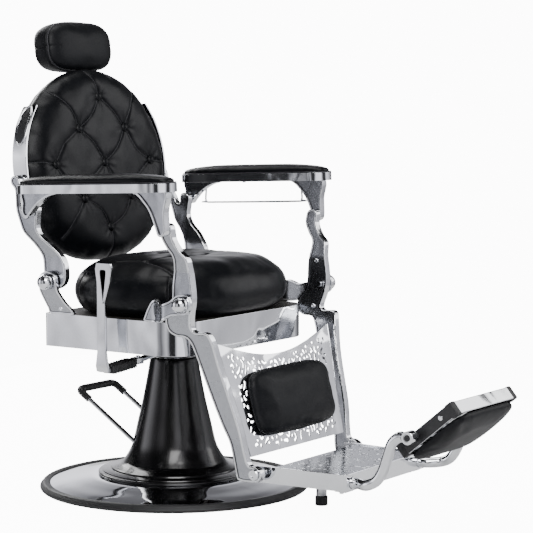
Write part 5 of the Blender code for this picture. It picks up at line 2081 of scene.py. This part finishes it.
@dataclass
class Footrest(SubAssembly):
    """Footplate, embossed tread, post, S-bent tubes and the flip-over panel.

    Args:
        tube_x: distance of a tube from the middle.
        root: x and height of a tube at the front bar.
        tube_radius: radius of a tube.
        panel_angle: tilt of the foot panel in degrees.
        panel_half: half width of the foot panel.
        panel_span: lower and upper end of the panel from its pivot.
        panel_depth: under and over side of its tray from the pivot.
    """

    tube_x: float = 0.168
    root: Point = (0.150, 0.1005)
    tube_radius: float = 0.0125
    panel_angle: float = 39.6
    panel_half: float = 0.140
    panel_span: Point = (-0.058, 0.116)
    panel_depth: Point = (-0.021, 0.010)

    def build(self) -> None:
        """Builds and dresses every piece."""
        self.eased("footplate_frame", "footrest", Surface.CHROME, 0.0012, 3)
        self.eased("tread_plate", "footrest", Surface.TREAD, 0.0004, 1)
        for node, name, surface in (("foot_post", "post_bar", Surface.CHROME),
                                    ("foot_post_cap", "post_cap", Surface.RUBBER)):
            low, high = corners(node)
            radius, height = (high.x - low.x) / 2, high.z - low.z
            profile = [(0, 0), (radius - 0.0012, 0), (radius, 0.0012), (radius, height - 0.0012),
                       (radius - 0.0012, height), (0, height)]
            foot = ((low.x + high.x) / 2, (low.y + high.y) / 2, low.z)
            self.piece(moved(spun(profile, 48), foot), name, "footrest", surface, stands_for=(node,))
        for name, side in SIDES.items():
            self._tube(name, side)
        self._foot_panel()

    def _tube(self, name: str, side: int) -> None:
        """An S-bent tube with its ring boss and the clamp under the plate's front corner.

        Args:
            name: left or right.
            side: 1 for the left, -1 for the right.
        """
        pivot = joint_place("foot_panel_flip")
        straight = [(side * self.root[0], y, self.root[1]) for y in (-0.575, -0.600, -0.625)]
        route = [(-0.6550, 0.103), (-0.6800, 0.115), (-0.6970, 0.139), (-0.7085, 0.171), (-0.7200, 0.202),
                 (-0.7350, 0.217), (-0.7480, 0.221)]
        path = straight + [(side * self.tube_x, y, z) for y, z in route]
        self.rod(smooth_path(path, 8), self.tube_radius, f"bent_tube_{name}", "footrest", Surface.CHROME,
                 (f"foot_tube_{name}",))
        ring = [(0, 0), (0.0140, 0), (0.0150, 0.0010), (0.0150, 0.0250), (0.0140, 0.0260), (0.0090, 0.0260),
                (0.0084, 0.0246), (0.0, 0.0246)]
        boss_x = self.tube_x - 0.013
        boss = pointed(spun(ring, 48), (1, 0, 0), (boss_x, pivot.y, pivot.z))
        self.piece(mirrored(boss, side), f"ring_boss_{name}", "footrest", Surface.CHROME,
                   stands_for=(f"tube_boss_{name}",))
        core = pointed(socket_screw(0.0075, 0.0014), (1, 0, 0), (boss_x + 0.0244, pivot.y, pivot.z))
        self.piece(mirrored(core, side), f"boss_core_{name}", "footrest", Surface.PAINT_AND_SIDE_SHADE)
        clamp = block((0.034, 0.030, 0.006), (self.root[0], -0.586, 0.0815), 0.0016)
        nuts = [pointed(socket_screw(0.0052, 0.004), (0, 0, -1), (self.root[0] + dx, -0.586, 0.0787))
                for dx in (-0.010, 0.010)]
        self.piece(mirrored(joined([clamp, *nuts]), side), f"plate_clamp_{name}", "footrest", Surface.CHROME)

    def _tilted(self, bm: Mesh) -> Mesh:
        """From the panel lying flat about its pivot to its place."""
        pivot = joint_place("foot_panel_flip")
        bmesh.ops.rotate(bm, matrix=Matrix.Rotation(math.radians(-self.panel_angle), 3, "X"), verts=bm.verts)
        return moved(bm, (0, pivot.y, pivot.z))

    def _foot_panel(self) -> None:
        """The tray, its pad, corner caps, hinge brackets and screws."""
        tray = round_edges(copy_of("foot_panel_tray"), 0.0022, 3)
        # The tray's end faces, which point along X, take the black paint: painted shade on the chrome tray's ends.
        for face in tray.faces:
            face.material_index = int(abs(face.normal.x) > 0.9)
        self.piece(tray, "panel_tray", "foot_panel", Surface.CHROME, Surface.PAINT_AND_SIDE_SHADE,
                   stands_for=("foot_panel_tray",))
        low, high = corners("foot_panel_pad")
        turn = Matrix.Rotation(math.radians(-self.panel_angle), 3, "X")
        pivot = joint_place("foot_panel_flip")
        under = self.panel_depth[0]

        def held(place: Vector) -> float:
            """How firmly the hide is held at a place, 0 to 1."""
            return 1.0 if (turn.inverted() @ (place - pivot)).z > under - 0.006 else 0.0

        stuffing = Stuffing(1.0, 0.0045, 2.5, 0.004, held=held, tightness=6)
        shape = stuffing.fill(copy_of("foot_panel_pad"), (low + high) / 2)
        for vert in shape.verts:
            flat = turn.inverted() @ (vert.co - pivot)
            flat.z = min(flat.z, under - 0.0004)
            vert.co = turn @ flat + pivot
        self.piece(shape, "foot_cushion", "foot_panel", Surface.MATT_HIDE, stands_for=("foot_panel_pad",),
                   fill=0.9, crease=80)
        for name, side in SIDES.items():
            self.eased(f"panel_hinge_{name}", "foot_panel", Surface.PAINT_AND_SIDE_SHADE, 0.0008)
            x, z = self.panel_half - 0.0095, sum(self.panel_depth) / 2
            caps = [self._tilted(block((0.020, 0.020, 0.034), (x, y, z), 0.0035, 3))
                    for y in (-self.panel_span[1] + 0.009, -self.panel_span[0] - 0.009)]
            self.piece(mirrored(joined(caps), side), f"corner_caps_{name}", "foot_panel", Surface.RUBBER)
            screw = pointed(socket_screw(0.0055, 0.0025), (1, 0, 0), (self.panel_half - 0.0004, -0.075, -0.004))
            self.piece(mirrored(self._tilted(screw), side), f"panel_screw_{name}", "foot_panel", Surface.CHROME)


@dataclass
class Studio:
    """Floor, lights, surroundings and camera.

    Args:
        shop: where the floor's finish comes from.
        eye: place of the camera.
        target: what it looks at.
        lens: focal length in millimetres.
        floor_half: half of the floor's side.
        glow: strength of the floor's white to the camera.
        backdrop: strength of the backdrop's white to the camera.
    """

    shop: PaintShop
    eye: tuple[float, float, float] = (-3.911, -2.938, 0.995)
    target: tuple[float, float, float] = (0.0, -0.274, 0.556)
    lens: float = 135.8
    floor_half: float = 1.7
    glow: float = 11.4
    backdrop: float = 12.0

    def build(self) -> None:
        """Sets up the whole studio."""
        bm = bmesh.new()
        bmesh.ops.create_grid(bm, x_segments=8, y_segments=8, size=self.floor_half)
        floor = scratch_object(bm, "studio_floor")
        floor.data.materials.append(self._floor_finish())
        floor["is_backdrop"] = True
        self._camera()
        self._surroundings()
        self._light("key", (-2.6, -2.4, 3.2), 2.4, 150)
        self._light("fill", (2.8, -2.6, 2.2), 2.4, 45)
        self._light("top", (0.2, 0.4, 3.8), 2.2, 60)
        self._light("rim", (1.2, 3.2, 2.4), 2.0, 90)

    def _floor_finish(self) -> Material:
        """Returns:
            The pale floor, which also glows white to the camera so that it meets the backdrop without a line.
        """
        material = self.shop.get(Surface.FLOOR)
        sheet = NodeSheet(material.node_tree)
        path = sheet.add("ShaderNodeLightPath")
        shader = material.node_tree.nodes["Principled BSDF"]
        sheet.wire(path.outputs["Is Camera Ray"], shader.inputs["Emission Color"])
        shader.inputs["Emission Strength"].default_value = self.glow
        return material

    def _camera(self) -> None:
        """The camera."""
        data = bpy.data.cameras.new("camera")
        data.lens = self.lens
        data.sensor_width = 36
        camera = bpy.data.objects.new("camera", data)
        camera.location = self.eye
        camera.rotation_euler = (Vector(self.target) - Vector(self.eye)).to_track_quat("-Z", "Y").to_euler()
        bpy.context.collection.objects.link(camera)
        bpy.context.scene.camera = camera

    def _light(self, name: str, place: tuple[float, float, float], size: float, power: float) -> None:
        """A square soft box that points at the chair.

        Args:
            name: the light's name.
            place: where it stands.
            size: its side.
            power: its power in watts.
        """
        data = bpy.data.lights.new(name, "AREA")
        data.shape = "SQUARE"
        data.size = size
        data.energy = power
        light = bpy.data.objects.new(name, data)
        light.location = place
        light.rotation_euler = (Vector((0, 0, 0.5)) - Vector(place)).to_track_quat("-Z", "Y").to_euler()
        bpy.context.collection.objects.link(light)

    def _surroundings(self) -> None:
        """White to the camera; bands of light and dark to everything that reflects."""
        world = bpy.data.worlds.new("studio")
        bpy.context.scene.world = world
        world.use_nodes = True
        sheet = NodeSheet(world.node_tree)
        background = world.node_tree.nodes["Background"]
        place = sheet.add("ShaderNodeTexCoord").outputs["Generated"]
        parts = sheet.add("ShaderNodeSeparateXYZ")
        sheet.wire(place, parts.inputs[0])
        height = sheet.add("ShaderNodeMapRange", From_Min=-1.0, From_Max=1.0, Value=parts.outputs["Z"])
        bands = sheet.add("ShaderNodeValToRGB", Fac=height.outputs["Result"])
        self._fill_ramp(bands, ((0.0, 0.5), (0.40, 0.8), (0.50, 1.0), (0.60, 1.25), (0.67, 0.55), (0.75, 0.13),
                                (0.90, 0.05), (1.0, 0.12)))
        around = sheet.add("ShaderNodeTexGradient")
        around.gradient_type = "RADIAL"
        sheet.wire(place, around.inputs["Vector"])
        side = sheet.add("ShaderNodeValToRGB", Fac=around.outputs["Fac"])
        self._fill_ramp(side, ((0.0, 0.9), (0.04, 0.04), (0.09, 0.03), (0.12, 1.6), (0.21, 1.8), (0.25, 0.05),
                               (0.30, 0.04), (0.335, 1.3), (0.39, 0.9), (0.44, 0.40), (0.50, 0.06), (0.555, 0.25),
                               (0.60, 1.7), (0.66, 1.0), (0.70, 0.04), (0.80, 0.05), (0.84, 2.2), (0.885, 1.4),
                               (0.915, 0.45), (0.95, 0.2), (1.0, 0.9)))
        shaded = sheet.add("ShaderNodeVectorMath")
        shaded.operation = "MULTIPLY"
        sheet.wire(bands.outputs["Color"], shaded.inputs[0])
        sheet.wire(side.outputs["Color"], shaded.inputs[1])
        path = sheet.add("ShaderNodeLightPath")
        choice = sheet.add("ShaderNodeMix")
        choice.data_type = "RGBA"
        sheet.wire(path.outputs["Is Camera Ray"], choice.inputs[0])
        sheet.wire(shaded.outputs[0], choice.inputs[6])
        choice.inputs[7].default_value = (*(self.backdrop,) * 3, 1)
        sheet.wire(choice.outputs[2], background.inputs["Color"])

    @staticmethod
    def _fill_ramp(node: Node, stops: Sequence[Point]) -> None:
        """Fills a colour ramp with greys.

        Args:
            node: the ramp's node.
            stops: (position, level) of each grey.
        """
        ramp = node.color_ramp
        for position, _ in stops[1:-1]:
            ramp.elements.new(position)
        for element, (position, level) in zip(ramp.elements, stops):
            element.position = position
            element.color = (level, level, level * 1.03, 1)


def write_size(name: str, sizes: dict[str, list[list[float]]]) -> None:
    """Args:
        name: what the box is of.
        sizes: the boxes so far, which gains this one.
    """
    low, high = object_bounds()
    sizes[name] = [list(low), list(high)]


def main() -> None:
    """Builds every sub-assembly in order and then the studio."""
    logging.basicConfig(level=logging.INFO, format="%(name)s: %(message)s")
    sizes: dict[str, list[list[float]]] = {}
    write_size("cad", sizes)
    shop = PaintShop()
    assemblies: list[SubAssembly] = [BaseAndColumn(shop), PumpPedal(shop), SeatBase(shop), Backrest(shop),
                                     ReclineLever(shop), Legrest(shop), Footrest(shop)]
    assemblies += [SideFrame(shop, side=name) for name in SIDES]
    assemblies += [Armrest(shop, side=name) for name in SIDES]
    for assembly in assemblies:
        LOG.info("building %s", type(assembly).__name__)
        assembly.build()
    Studio(shop).build()
    write_size("visual", sizes)


if __name__ == "__main__":
    main()
